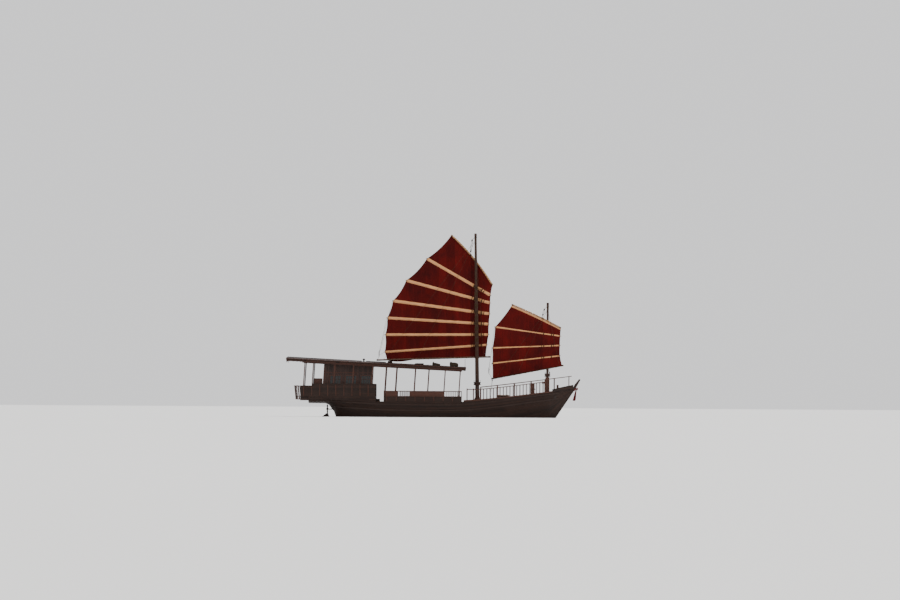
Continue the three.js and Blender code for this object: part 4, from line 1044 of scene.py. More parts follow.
def build_planking():
    """Strakes up to the sheer, and narrow planks over it up to the decks"""
    seam = settings().timber.seam
    strakes, topside, narrow = 24, 3, 0.09
    rows, above = plank_rows(strakes), plank_rows(topside)
    stern, bow = STATIONS[0][0], STATIONS[-1][0]

    def strake_line(x):
        points, girth = girth_points(x, [row / strakes for row in rows])
        relief = seam * min(1.0, girth / strakes / narrow)
        line = []
        for (point, normal), row in zip(points, rows):
            out = point + normal * relief * plank_relief(row)
            line.append((Vector((x, out.x, out.y)), row))
        return line

    def topside_line(top):
        def line(x):
            low, high = faired(SHEER, x), top(x)
            made = []
            for row in above:
                z = mix(low, high, row / topside)
                made.append((Vector((x, half_beam(x, z) + seam * plank_relief(row), z)), strakes + row))
            return made

        return line

    over_poop, over_well = topside_line(lambda x: POOP_UNDER), topside_line(lambda x: WELL_UNDER)
    over_bow = topside_line(lambda x: fore_deck(x) - DECK_THICK)
    whole = spaced(stern, (-8.5, 0.16), (-7.3, 0.06), (8.5, 0.15), (bow, 0.08))
    for word, side in sides():
        bm = bmesh.new()
        planked(bm, whole, rows, strake_line, side)
        planked(bm, spaced(stern, (BREAK_AFT, 0.2)), above, over_poop, side)
        planked(bm, spaced(BREAK_AFT, (BREAK_FORE, 0.2)), above, over_well, side)
        planked(bm, spaced(BREAK_FORE, (BOW_END, 0.15)), above, over_bow, side)
        bmesh.ops.remove_doubles(bm, verts=bm.verts, dist=1e-5)
        bmesh.ops.solidify(bm, geom=bm.faces, thickness=0.018)
        shown(f"hull_planking_{word}", bm, "hull_planks", "ship", sharp=24)


def build_wales():
    """Two heavy timbers along each side, with a row of bolts in each"""
    half_thick, half_high, chamfer = 0.0325, 0.065, 0.012
    w, h = half_thick - chamfer, half_high - chamfer
    section = [
        (-half_thick, -h), (-w, -half_high), (w, -half_high), (half_thick, -h),
        (half_thick, h), (w, half_high), (-w, half_high), (-half_thick, h),
    ]
    head = [(0, 0.010), (0.013, 0.008), (0.020, -0.004), (0, -0.004)]
    bolts_aft, bolt_step, bolt_count, stagger = -7.9, 0.295, 58, 0.025
    wales, bolts = bmesh.new(), bmesh.new()
    for side in (1, -1):
        for drop in (0.125, 0.545):

            def on_side(x, out, lift=0.0):
                z = faired(SHEER, x) - drop
                return x, side * (half_beam(x, z) + out), z + lift

            swept(wales, [on_side(x, 0.0125) for x in spaced(-8.1, (9.3, 0.2))], steady(section))
            for i in range(bolt_count):
                spot = on_side(bolts_aft + i * bolt_step, 0.045, stagger if i % 2 else -stagger)
                turned(bolts, head, upright(spot, (0, side, 0)), 8)
    shown("hull_wales", wales, "hull_timber", "ship", sharp=40)
    shown("wale_bolts", bolts, "iron", "ship")


def build_hull():
    """Planks and the core behind them, keel and stem, wales, and rings for the anchor's rope"""
    build_planking()
    # The solid inside the planks, which shows at the edges of the decks
    bm = copied("hull", 0.05)
    for vert in bm.verts:
        if abs(vert.co.y) > 0.2:
            vert.co.y -= math.copysign(0.016, vert.co.y)
    shown("hull_core", bm, "hull_timber", "ship", ("hull",), sharp=20)
    timbered([("keel_and_stem", "keel_timbers", "hull_timber", "hull_wood", 1.5)])
    build_wales()

    hawse = bmesh.new()
    x, z, reach = 9.05, 1.62, 0.05
    for side in (1, -1):
        # The way that the hull faces here
        ahead = half_beam(x - reach, z) - half_beam(x + reach, z)
        above = half_beam(x, z - reach) - half_beam(x, z + reach)
        place = upright((x, side * half_beam(x, z), z), (ahead, side * 2 * reach, above))
        hoop(hawse, place, 0.055, 0.1, 0.07, 20)
        turned(hawse, [(0, -0.03), (0.06, -0.03), (0.06, 0.012), (0, 0.012)], place, 20)
    shown("hawse_rings", hawse, "iron", "ship")


def build_decks():
    """Planks along the three decks, and the hatch lid's boards, battens, hinges and handles"""
    timber = settings().timber
    step, gap = timber.deck_board, timber.seam
    for name in ("well_deck", "poop_deck", "foredeck"):
        bm = copied(name)
        boarded(bm, deck_planes(step, 16), facing_up, gap)
        made = shown(f"{name}_planks", bm, "deck_planks", "ship", (name,), sharp=12)
        made.data.materials.append(finish("hull_timber"))
        for face in made.data.polygons:
            face.material_index = int(face.normal.z < 0.4)

    bm = copied("hatch_lid")
    boarded(bm, deck_planes(step, 3), facing_up, gap)
    low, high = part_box("hatch_lid")
    for x in (low.x + 0.1, high.x - 0.16):
        block(bm, (x, low.y + 0.03, high.z), (x + 0.06, high.y - 0.03, high.z + 0.022))
    shown("hatch_lid_boards", bm, "deck_planks", "hatch_lid", ("hatch_lid",), sharp=12)
    bm = bmesh.new()
    foot = high.z + 0.004
    for y in (-0.2, 0.2):
        arch = []
        for i in range(9):
            angle = math.pi * i / 8
            arch.append((high.x - 0.28, y + 0.09 * math.cos(angle), foot + 0.06 * math.sin(angle)))
        rope(bm, arch, 0.008)
        block(bm, (low.x, y - 0.03, high.z), (low.x + 0.3, y + 0.03, high.z + 0.006))
    shown("hatch_handles", bm, "iron", "hatch_lid")


def build_bulwarks():
    """Boards along the bulwarks, and upright timbers outside them that end under the cap"""
    gap = settings().timber.seam
    for part, piece, levels in (
        ("bulwark_poop", "poop_bulwark", [1.75, 1.92, 2.09, 2.26, 2.38]),
        ("bulwark_well", "well_bulwark", [1.25, 1.36, 1.47]),
    ):
        for word, _ in sides():
            bm = copied(f"{part}_{word}", 2.0)
            planes = [((0, 0, z), (0, 0, 1)) for z in levels]
            boarded(bm, planes, lambda face: abs(face.normal.y) > 0.6, gap)
            shown(f"{piece}_{word}", bm, "bulwark_boards", "ship", (f"{part}_{word}",), sharp=12)
    half_wide, half_thick = 0.03, 0.014
    for word, side in sides():
        timbered([(f"bulwark_bow_{word}", f"bow_bulwark_{word}", "bulwark_boards", "hull_wood", 1.0)])
        bm = bmesh.new()
        poop, well = surface_of(f"bulwark_poop_{word}"), surface_of(f"bulwark_well_{word}")
        places = [(poop, -10.3 + 0.62 * k, 1.60, 2.32 if k < 2 else 2.49) for k in range(9)]
        places += [(well, -3.9 + 0.72 * k, 1.24, 1.565) for k in range(8)]
        for tree, x, low, high in places:
            heights = (low, (low + high) / 2, high)
            path = [(x, outboard(tree, x, z, side), z) for z in heights]
            if all(y is not None for _, y, _ in path):
                path = [(x, y + side * 0.012, z) for x, y, z in path]
                swept(bm, path, bar(half_wide, half_thick), (0, side, 0))
        shown(f"bulwark_timbers_{word}", bm, "post_varnish", "ship", edge=0.004)


def build_rails():
    """Rails with their balusters, the benches and the slatted gallery"""
    table = [("stern_gallery", "stern_gallery_slats", "post_varnish", "trim_wood", 0.8)]
    for word, _ in sides():
        table.append((f"rail_well_{word}", f"well_rail_{word}", "trim_varnish", "trim_wood", 0.8))
        table.append((f"rail_fore_{word}", f"foredeck_rail_{word}", "trim_varnish", "trim_wood", 0.8))
        table.append((f"bench_{word}", f"bench_{word}_planks", "seat_planks", "deck_wood", 1.0))
    timbered(table)


# The canopy


def across_roof(x, inset, lift, steps, shift=0.0):
    """Points from one side of the roof to the other, short of its edges by inset and over its top by lift"""
    half = roof_half(x) - inset
    points = []
    for k in range(steps + 1):
        y = mix(-half, half, k / steps)
        points.append((x + shift, y, roof_at(x, y) + lift))
    return points


def along_roof(count, aft, fore):
    """Evenly spaced places from aft of the roof's after end to fore of its forward end"""
    return [mix(ROOF_AFT + aft, ROOF_FORE - fore, i / (count - 1)) for i in range(count)]


def build_canopy():
    """Roof boards, rafters under them, mouldings at the edges, ridge covers, battens and the staff"""
    timber = settings().timber
    bm = copied("canopy_roof", 0.3)

    def on_top(face):
        return face.normal.z > 0.8 and face.calc_center_median().z > 3.8

    boarded(bm, deck_planes(timber.deck_board, 15), on_top, timber.seam)
    shown("canopy_roof_boards", bm, "roof_boards", "ship", ("canopy_roof",), sharp=12)
    for word, _ in sides():
        timbered([(f"canopy_frame_{word}", f"canopy_posts_{word}", "post_varnish", "trim_wood", 1.0)])

    # Rafters under the boards, whose ends show below the edge of the roof
    bm = bmesh.new()
    half_wide = 0.025
    rafters = along_roof(46, 0.12, 0.12)
    for x in rafters:
        swept(bm, across_roof(x, 0.065, -0.115, 8), bar(half_wide, 0.05))
    for side in (1, -1):
        for x in rafters:
            y = side * (roof_half(x) - 0.03)
            z = roof_at(x, y) - 0.2
            block(bm, (x - half_wide, y - 0.03, z - 0.01), (x + half_wide, y + 0.024, z + 0.06))
    shown("canopy_rafters", bm, "rafter_wood", "ship", edge=0.005)

    # Two mouldings along each side of the roof, and one across each end
    bm = bmesh.new()
    for side in (1, -1):
        for drop, radius in ((0.012, 0.020), (0.165, 0.018)):
            path = []
            for x in along_roof(25, 0.002, 0.002):
                path.append((x, side * roof_half(x), roof_crown(x) - ROOF_CAMBER - drop))
            swept(bm, path, round_section(radius, 8))
    for x, way in ((ROOF_AFT, -1), (ROOF_FORE, 1)):
        swept(bm, across_roof(x, 0.0, -0.02, 12, way * 0.004), round_section(0.02, 8))
    shown("canopy_moulding", bm, "trim_varnish", "ship")

    # Covers along the ridge, and a board across the after end
    bm = bmesh.new()
    cover = [(-0.13, -0.03), (0.13, -0.03), (0.13, 0.012), (0.05, 0.030), (-0.05, 0.030), (-0.13, 0.012)]
    for x0, x1 in ((ROOF_AFT + 0.05, -5.90), (-5.54, -4.02)):
        xs = [mix(x0, x1, k / 8) for k in range(9)]
        swept(bm, [(x, 0, roof_crown(x) + 0.02) for x in xs], steady(cover))
    swept(bm, across_roof(ROOF_AFT, 0.01, -0.21, 12, 0.04), bar(0.018, 0.10))
    shown("canopy_ridge_boards", bm, "roof_boards", "ship", edge=0.004)

    # Battens across the boards on top, every few steps, and the low hatch's grating
    bm = bmesh.new()
    for x in along_roof(12, 0.6, 1.9):
        swept(bm, across_roof(x, 0.12, 0.012, 8), bar(0.03, 0.012))
    for k in range(6):
        x = -1.72 + k * 0.118
        block(bm, (x, -0.31, roof_crown(x + 0.02) + 0.068), (x + 0.03, 0.31, roof_crown(x) + 0.098))
    shown("canopy_roof_battens", bm, "rafter_wood", "ship", edge=0.004)

    bm = bmesh.new()
    x, y = 2.09, -0.9
    staff = [
        (0, 0), (0.035, 0), (0.030, 0.05), (0.014, 0.07),
        (0.012, 0.58), (0.022, 0.60), (0.020, 0.63), (0, 0.64),
    ]
    turned(bm, staff, upright((x, y, roof_at(x, y) - 0.02)), 12)
    shown("canopy_flagstaff", bm, "boom_bamboo", "ship")


# The deckhouse


def board_walls():
    """Upright boards on the sides, which lean with the house, and on the end walls"""
    timber = settings().timber
    step, gap = timber.wall_board, timber.seam
    first = -9.2
    lean = Vector((1, 0, -RAKE)).normalized()
    along = [((first + step * k, 0, POOP_LEVEL), lean) for k in range(24)]
    across = deck_planes(step, 8)
    walls = [(f"house_side_{word}", along, lambda face: abs(face.normal.y) > 0.9) for word, _ in sides()]
    walls += [(name, across, lambda face: abs(face.normal.x) > 0.9) for name in ("house_front", "house_back")]
    for name, planes, facing in walls:
        bm = copied(name)
        boarded(bm, planes, facing, gap)
        boards = bm.verts.layers.float.new("lean")
        for vert in bm.verts:
            x, y, z = vert.co
            vert[boards] = x - first - RAKE * (z - POOP_LEVEL) if planes is along else y + 10 * step
        shown(f"{name}_boards", bm, "wall_boards", "ship", (name,), sharp=12)


def frame_round(a, b, low, high, wide):
    """The bars round an opening: each one's start and end, foot and top"""
    return (
        (a - wide, b + wide, high, high + wide),
        (a - wide, b + wide, low - wide, low),
        (a - wide, a, low, high),
        (b, b + wide, low, high),
    )


def build_windows():
    """Frames outside the walls and glazing bars on both sides of the glass"""
    lean = raked()
    wide, proud, bar_half = 0.07, 0.028, 0.014
    inside, outside = 0.052, 0.018
    low, high = WINDOW_LOW, WINDOW_HIGH
    bm = bmesh.new()
    for side in (1, -1):
        face = side * HOUSE_HALF
        near, far = sorted((face, face + side * proud))
        inner = sorted((face - side * inside, face - side * outside))
        for x0, x1 in WINDOWS:
            for a, b, z0, z1 in frame_round(x0, x1, low, high, wide):
                block(bm, (a, near, z0), (b, far, z1), lean)
            for k in (1, 2, 3):
                x = mix(x0, x1, k / 4)
                block(bm, (x - bar_half, inner[0], low), (x + bar_half, inner[1], high), lean)
            z = mix(low, high, 0.62)
            block(bm, (x0, inner[0], z - bar_half), (x1, inner[1], z + bar_half), lean)
    y0, y1 = 0.10, 1.15
    for a, b, z0, z1 in frame_round(y0, y1, low, high, wide):
        block(bm, (HOUSE_FORE, a, z0), (HOUSE_FORE + proud, b, z1), lean)
    near, far = HOUSE_FORE - inside, HOUSE_FORE - outside
    for k in (1, 2, 3):
        y = mix(y0, y1, k / 4)
        block(bm, (near, y - bar_half, low), (far, y + bar_half, high), lean)
    block(bm, (near, y0, 2.87), (far, y1, 2.898), lean)
    shown("window_frames", bm, "trim_varnish", "ship", edge=0.004)
    for word in ("port", "starboard", "front"):
        repainted(f"window_glass_{word}", "glass")


def build_doors():
    """Doors with raised panels, round handles and glass"""
    lean = raked()
    handle_height, wall = 2.60, 0.04
    knob = [
        (0, 0.052), (0.018, 0.05), (0.026, 0.04), (0.018, 0.028),
        (0.008, 0.02), (0.022, 0.004), (0.022, -0.002), (0, -0.002),
    ]
    for name, way, y0, face in (("door_front", 1, -1.15, HOUSE_FORE), ("door_back", -1, 0.40, HOUSE_AFT)):
        bm = copied(name)
        near, far = sorted((face, face + way * 0.012))
        for z0, z1 in ((1.74, 2.10), (2.18, 2.56)):
            for a, b in ((0.10, 0.33), (0.37, 0.60)):
                block(bm, (near, y0 + a, z0), (far, y0 + b, z1), lean)
        shown(f"{name}_panels", bm, "post_varnish", name, (name,), edge=0.004)
        bm = bmesh.new()
        for out in (way, -way):
            base = face if out == way else face - way * wall
            spot = (base + RAKE * (handle_height - POOP_LEVEL), y0 + 0.645, handle_height)
            turned(bm, knob, upright(spot, (out, 0, RAKE * out)), 14)
        shown(f"{name}_handles", bm, "cast_bronze", name)
        bm = bmesh.new()
        x0, x1 = sorted((face - way * 0.024, face - way * 0.016))
        block(bm, (x0, y0 + 0.125, 2.635), (x1, y0 + 0.575, 3.245), lean)
        shown(f"{name}_glass", bm, "glass", name)


def build_deckhouse():
    """Boarded walls with windows, doors, corner posts, a skirting and rails under and over the windows"""
    board_walls()
    build_windows()
    lean = raked()
    post = 0.09
    bm = bmesh.new()
    for side in (1, -1):
        near, far = sorted((side * HOUSE_HALF, side * (HOUSE_HALF + 0.022)))
        for x0, x1 in ((HOUSE_AFT, HOUSE_AFT + post), (HOUSE_FORE - post, HOUSE_FORE)):
            block(bm, (x0, near, 1.59), (x1, far, 3.95), lean)
        for z0, z1 in ((1.59, 1.72), (2.20, 2.25), (3.36, 3.42)):
            block(bm, (HOUSE_AFT + post, near, z0), (HOUSE_FORE - post, far, z1), lean)
    shown("house_mouldings", bm, "trim_varnish", "ship", edge=0.004)
    build_doors()


def build_helm():
    """The stand, and the wheel with its rim, six spokes and hub"""
    timbered([("helm_stand", "helm_stand_boards", "post_varnish", "trim_wood", 1.0)])
    centre, radius = Vector((-5.56, 0.62, 2.48)), 0.29
    axis = upright(centre, (1, 0, 0))
    bm = bmesh.new()
    rim = [
        (-0.028, -0.012), (-0.012, -0.020), (0.012, -0.020), (0.024, -0.010),
        (0.024, 0.010), (0.012, 0.020), (-0.012, 0.020), (-0.028, 0.012), (-0.028, -0.012),
    ]
    turned(bm, [(radius + out, height) for out, height in rim], axis, 48)
    spoke = [
        (0, 0.03), (0.012, 0.03), (0.012, 0.10), (0.018, 0.13), (0.011, 0.17),
        (0.017, 0.22), (0.011, 0.25), (0.014, 0.275), (0.014, 0.30), (0.009, 0.315),
        (0.015, 0.35), (0.016, 0.375), (0.010, 0.396), (0, 0.399),
    ]
    for i in range(6):
        angle = i * math.pi / 3
        turned(bm, spoke, upright(centre, (0, math.cos(angle), math.sin(angle))), 12)
    shown("helm_wheel_spokes", bm, "post_varnish", "helm_wheel", ("helm_wheel",))
    bm = bmesh.new()
    hub = [
        (0, -0.034), (0.02, -0.032), (0.032, -0.022), (0.045, -0.018),
        (0.048, 0.018), (0.030, 0.024), (0.030, 0.088), (0, 0.088),
    ]
    turned(bm, hub, axis, 24)
    shown("helm_wheel_hub", bm, "cast_bronze", "helm_wheel")


# Deck gear


def build_windlass():
    """The drum's iron bands and the bars that keep a rope from slipping on it"""
    low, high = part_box("windlass_barrel")
    centre = (low + high) / 2
    bm = bmesh.new()
    bands = [(y, 0.122, 0.134, 0.045, 24) for y in (-0.50, -0.16, 0.16, 0.50)]
    bands += [(y, 0.043, 0.056, 0.035, 20) for y in (-0.74, 0.74)]
    for y, inner, outer, wide, steps in bands:
        hoop(bm, upright((centre.x, y, centre.z), (0, 1, 0)), inner, outer, wide, steps)
    shown("windlass_bands", bm, "iron", "windlass_barrel")
    bm = bmesh.new()
    for i in range(8):
        angle = i * math.pi / 4 + math.pi / 8
        spot = Matrix.Translation((centre.x, 0, centre.z)) @ Matrix.Rotation(angle, 4, "Y")
        for y0, y1 in ((-0.46, -0.34), (-0.26, -0.20), (0.20, 0.26), (0.34, 0.46)):
            block(bm, (0.112, y0, -0.02), (0.142, y1, 0.02), spot)
    shown("windlass_whelps", bm, "post_varnish", "windlass_barrel", edge=0.004)


def build_deck_gear():
    """Windlass, bitts, the fore mast's cheeks with their pins, and the engine's casing with its louvres"""
    timbered(
        [
            ("windlass_bitts", "windlass_bitt_posts", "post_varnish", "trim_wood", 1.5),
            ("bow_bitt", "bow_bitt_post", "post_varnish", "trim_wood", 1.5),
            ("mast_cheeks", "fore_mast_cheeks", "post_varnish", "trim_wood", 1.2),
            ("windlass_barrel", "windlass_drum", "mast_timber", "mast_wood", 0.6),
            ("engine_casing", "engine_casing_box", "post_varnish", "trim_wood", 1.5),
        ]
    )
    build_windlass()

    # A lid, and slats between two uprights on the after side
    low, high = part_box("engine_casing")
    bm = bmesh.new()
    block(bm, (low.x - 0.02, low.y - 0.02, high.z - 0.05), (high.x - 0.004, high.y + 0.02, high.z - 0.012))
    slats, lowest, pitch, tilt = 9, 2.05, 0.085, math.radians(35)
    half_thick, half_high, margin = 0.012, 0.035, 0.25
    for k in range(slats):
        place = Matrix.Translation((low.x - 0.002, 0, lowest + pitch * k)) @ Matrix.Rotation(tilt, 4, "Y")
        corners = (-half_thick, low.y + margin, -half_high), (half_thick, high.y - margin, half_high)
        block(bm, *corners, place)
    for y in (low.y + 0.2, high.y - margin):
        block(bm, (low.x - 0.022, y, 1.95), (low.x, y + 0.05, 2.80))
    shown("engine_casing_louvres", bm, "trim_varnish", "ship", edge=0.005)

    low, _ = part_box("mast_cheeks")
    rail_half, rail_height, count = 0.27, 2.74, 5
    spots = [(low.x + 0.06, mix(-rail_half, rail_half, k / (count - 1)), rail_height) for k in range(count)]
    pin = [
        (0, -0.13), (0.009, -0.12), (0.011, 0), (0.016, 0.01), (0.017, 0.03),
        (0.010, 0.05), (0.015, 0.10), (0.012, 0.13), (0, 0.135),
    ]
    build_pins("belaying_pins_fore", pin, spots)


def build_pins(name, profile, spots):
    """Turned pins that ropes are made fast to"""
    bm = bmesh.new()
    for spot in spots:
        turned(bm, profile, upright(spot), 10)
    shown(name, bm, "block_wood", "ship")


# Masts


def mast_place(mast, z):
    return Matrix.Translation(mast_point(mast, z)) @ Matrix.Rotation(math.atan(mast["lean"]), 4, "Y")


def pin_spots(name, mast):
    """Where the pins stand in a mast's collar"""
    z, radius, count = PIN_RINGS[name]
    for i in range(count):
        angle = 2 * math.pi * (i + 0.5) / count
        yield mast_point(mast, z) + Vector((radius * math.cos(angle), radius * math.sin(angle), 0))


def build_masts():
    """Both masts, with bands, a truck at the head, rope where the battens rub, wedges and pins"""
    truck = [(0, 0.0), (0.075, -0.002), (0.10, -0.02), (0.10, -0.04), (0.06, -0.05), (0, -0.05)]
    pin = [
        (0, -0.16), (0.010, -0.15), (0.012, 0), (0.018, 0.01), (0.019, 0.03),
        (0.011, 0.05), (0.017, 0.12), (0.013, 0.15), (0, 0.155),
    ]
    rope_rise = 0.026
    for sail, collar, wedge_level in ((MAIN_SAIL, 2.51, 0.13), (FORE_SAIL, 3.19, 0.15)):
        name, mast = sail["name"], sail["mast"]
        solid = f"{name}_mast"
        shown(f"{solid}_timber", copied(solid, 0.1), "mast_timber", "ship", (solid,), sharp=30)
        bm = bmesh.new()
        top = mast["head"]
        for z in (collar - 0.25, collar - 0.55, top - 0.30, top - 0.75):
            radius = mast_radius(mast, z)
            hoop(bm, mast_place(mast, z), radius - 0.004, radius + 0.010, 0.06, 28)
        turned(bm, truck, mast_place(mast, top - 0.003), 20)
        shown(f"{solid}_bands", bm, "iron", "ship")

        # Rope wound round the mast where each batten rubs on it, and halfway between
        bm = bmesh.new()
        rubs = [batten_height(sail, row) for row in sail["battens"]]
        for z, half in [(z, 0.13) for z in rubs] + [((a + b) / 2, 0.15) for a, b in zip(rubs, rubs[1:])]:
            low, high = mast_point(mast, z - half), mast_point(mast, z + half)
            radius = mast_radius(mast, z) + 0.011
            rope(bm, helix(low, high, radius, round(half * 2 / rope_rise), 14), 0.0135, 5)
        shown(f"{solid}_serving", bm, "rope", "ship")

        bm = bmesh.new()
        for i in range(12):
            turn = mast_place(mast, mast["z"] + wedge_level) @ Matrix.Rotation(i * math.pi / 6, 4, "Z")
            block(bm, (mast["foot"] - 0.01, -0.03, -0.03), (mast["foot"] + 0.028, 0.03, 0.06), turn)
        shown(f"{solid}_wedges", bm, "post_varnish", "ship", edge=0.004)
        build_pins(f"{name}_collar_pins", pin, pin_spots(name, mast))


# Sails


def on_spar(spar, bend, t):
    """A point along a spar that bends away from the straight; t runs from the after end forward"""
    x0, z0, x1, z1 = spar
    length = math.hypot(x1 - x0, z1 - z0)
    lift = bend * 4 * t * (1 - t)
    return mix(x0, x1, t) - lift * (z1 - z0) / length, mix(z0, z1, t) + lift * (x1 - x0) / length


def pulled_in(row):
    """The part of a batten that the cloth covers"""
    x0, z0, x1, z1 = row[:4]
    length = math.hypot(x1 - x0, z1 - z0)
    across, up = (x1 - x0) / length * CLOTH_INSET, (z1 - z0) / length * CLOTH_INSET
    return x0 + across, z0 + up, x1 - across, z1 - up


def sail_rows(sail):
    """From the foot up: the lines that the cloth is held along"""
    rows = [pulled_in(sail["foot"])]
    rows += [pulled_in(row) for row in reversed(sail["battens"])]
    x0, z0, x1, z1 = pulled_in(sail["yard"])
    return rows + [(x0, z0 - sail["head_drop"], x1, z1 - sail["head_drop"])]


def hollowed(a, b, t, hollow, sign):
    """A point on the cloth's edge between two battens, which curves in by hollow"""
    length = math.hypot(b[0] - a[0], b[1] - a[1])
    dip = sign * hollow * 4 * t * (1 - t) / length
    return mix(a[0], b[0], t) + dip * (b[1] - a[1]), mix(a[1], b[1], t) - dip * (b[0] - a[0])


def sail_point(sail, rows, u, v):
    """Where a share u of the way forward and v of the way up lies on the flat cloth, how far up its panel
    that is, how full the sail is there, and the panel's number"""
    panels = len(rows) - 1
    panel = min(int(v * panels), panels - 1)
    t = v * panels - panel
    low, high = rows[panel], rows[panel + 1]
    span = math.hypot(low[0] - high[0], low[1] - high[1])
    hollow = sail["leech_hollow"] * min(1.0, span / 2.2) ** 1.5
    x0, z0 = hollowed(low[:2], high[:2], t, hollow, 1)
    x1, z1 = hollowed(low[2:], high[2:], t, LUFF_HOLLOW, -1)
    x, z = mix(x0, x1, u), mix(z0, z1, u)
    if panel == panels - 1:
        bx, bz = on_spar(high, sail["bend"], u)
        x += t * (bx - mix(high[0], high[2], u))
        z += t * (bz - mix(high[1], high[3], u))
    if panel == 0 and sail["sag"]:
        share = (x - low[0]) / (sail["sag_end"] - low[0])
        if 0 < share < 1:
            z -= (1 - t) * sail["sag"] * math.sin(math.pi * share**0.8)
    aft = (low[0] - high[0], low[1] - high[1])
    fore = (low[2] - high[2], low[3] - high[3])
    tall = math.hypot(mix(aft[0], fore[0], u), mix(aft[1], fore[1], u))
    fullness = math.sin(math.pi * t) ** 0.8 * (0.35 + 0.65 * math.sin(math.pi * min(1.0, 0.12 + 0.8 * u)))
    return x, z, t, fullness * min(1.0, tall / 1.1), panel


def cloth_spot(sail, rows, u, v):
    """A spot on the cloth as it hangs, and where it lies on the flat cloth"""
    x, z, t, full, panel = sail_point(sail, rows, u, v)
    crease = noise.noise(Vector((x * 1.9, z * 0.9, 3.0 * sail["side"] + panel))) * 0.020
    pleat = math.sin(2 * math.pi * u * 23 + 2.0 * math.sin(9 * u + panel)) * 0.007
    held = math.sin(math.pi * t)
    away = settings().sails.billow * full + crease * held + pleat * held * (1 - 0.6 * held)
    edge = min(u, 1 - u)
    away += 0.012 * math.exp(-edge / 0.03) * math.sin(2 * math.pi * t) * math.sin(math.pi * t)
    return Vector((x, cloth_offset(sail) + sail["side"] * away, z)), (x, z)


def build_head_sleeve(sail, rows):
    """Undyed cloth doubled over the head of a sail, sewn along its lower edge"""
    low, high = rows[-2], rows[-1]
    length = math.hypot(high[2] - high[0], high[3] - high[1])

    def spot(u, share):
        tall = mix(high[1] - low[1], high[3] - low[3], u)
        v = 1 - (1 - share) * sail["head_sleeve"] / tall / (len(rows) - 1)
        return cloth_spot(sail, rows, u, v)[0], (0.25 * share, u * length)

    bm, _ = draped(96, 3, spot)
    bmesh.ops.recalc_face_normals(bm, faces=bm.faces)
    name, thick = sail["name"], settings().sails.cloth + 0.012
    body = f"{name}_sail"
    return shown(f"{body}_head_sleeve", bm, "sleeve_cloth", body, thick=thick)


def build_boltrope(sail, rows, columns, steps):
    """A rope sewn round the edge of the cloth, up the after edge and back down the forward one"""
    billow = settings().sails.billow
    edge_points = [(0.0, k / steps) for k in range(steps + 1)]
    edge_points += [(k / columns, 1.0) for k in range(1, columns + 1)]
    edge_points += [(1.0, k / steps) for k in range(steps - 1, -1, -1)]
    edge_points += [(k / columns, 0.0) for k in range(columns - 1, 0, -1)]
    path = []
    for u, v in edge_points:
        x, z, _, full, _ = sail_point(sail, rows, u, v)
        path.append((x, cloth_offset(sail) + sail["side"] * billow * full, z))
    bm = bmesh.new()
    rope(bm, path, 0.011, 6, closed=True)
    body = f'{sail["name"]}_sail'
    return shown(f"{body}_boltrope", bm, "rope", body)


def build_sail(sail):
    """The cloth with its boltrope, and the sleeve along its head where it has one"""
    name = sail["name"]
    rows = sail_rows(sail)
    columns, steps = 96, 12 * (len(rows) - 1)
    bm, flat = draped(columns, steps, lambda u, v: cloth_spot(sail, rows, u, v))
    bmesh.ops.recalc_face_normals(bm, faces=bm.faces)
    body = f"{name}_sail"
    thick = settings().sails.cloth
    cloth = shown(f"{body}_canvas", bm, "sailcloth", body, (f"{body}_cloth",), thick=thick)
    sewn_on = [build_boltrope(sail, rows, columns, steps)]
    if sail["head_sleeve"]:
        sewn_on.append(build_head_sleeve(sail, rows))


def sleeve_section(half, length, number):
    """The ring of a batten's sleeve at a share of its length: thick in the middle, flat at its sewn edges,
    a little uneven, and narrower at its ends"""

    def section(share):
        run = share * length
        thick = 0.024 + 0.0025 * math.sin(run * 21 + number) + 0.0018 * math.sin(run * 47)
        end = min(1.0, min(share, 1 - share) * length / 0.10)
        wide = (half + 0.004 * math.sin(run * 9 + 2 * number)) * (0.82 + 0.18 * end)
        quarter = [(0.0035, wide), (0.0045, wide * 0.80), (thick * 0.55, wide * 0.42), (thick, wide * 0.12)]
        back = quarter[::-1]
        left = [(-a, b) for a, b in quarter] + [(-a, -b) for a, b in back]
        return left + [(a, -b) for a, b in quarter] + back

    return section


def build_battens(sail):
    """Each batten: a bamboo pole in a sewn sleeve, lashed at both ends"""
    name = sail["name"]
    body = f"{name}_sail"
    plane = cloth_offset(sail)
    lash = settings().rigging.lashing
    inset, stick_out, steps = 0.055, 0.06, 60
    # Each row: how far in a lashing starts and ends, its radius, its turns
    lashing_rows = ((0.005, 0.05, 0.0265, 4), (0.09, 0.13, 0.034, 3))
    lashings = bmesh.new()
    for number, (x0, z0, x1, z1, wide) in enumerate(sail["battens"], 1):
        a, b = Vector((x0, plane, z0)), Vector((x1, plane, z1))
        ahead = (b - a).normalized()
        start, stop = a + ahead * inset, b - ahead * inset
        path = [start.lerp(stop, k / steps) for k in range(steps + 1)]
        bm = bmesh.new()
        swept(bm, path, sleeve_section(wide / 2, (b - a).length, number))
        solid = f"{name}_batten_{number}"
        piece = f"{name}_batten_sleeve_{number}"
        shown(piece, bm, "sleeve_cloth", body, (solid,), sharp=50)
        bm = bmesh.new()
        bamboo_pole(bm, [a - ahead * stick_out, b + ahead * stick_out], 0.0205, 10)
        shown(f"{name}_batten_pole_{number}", bm, "batten_bamboo", body)
        for tip, inward in ((a, ahead), (b, -ahead)):
            for near, far, radius, turns in lashing_rows:
                rope(lashings, helix(tip + inward * near, tip + inward * far, radius, turns, 8), lash, 5)
    shown(f"{name}_batten_lashings", lashings, "rope", body)


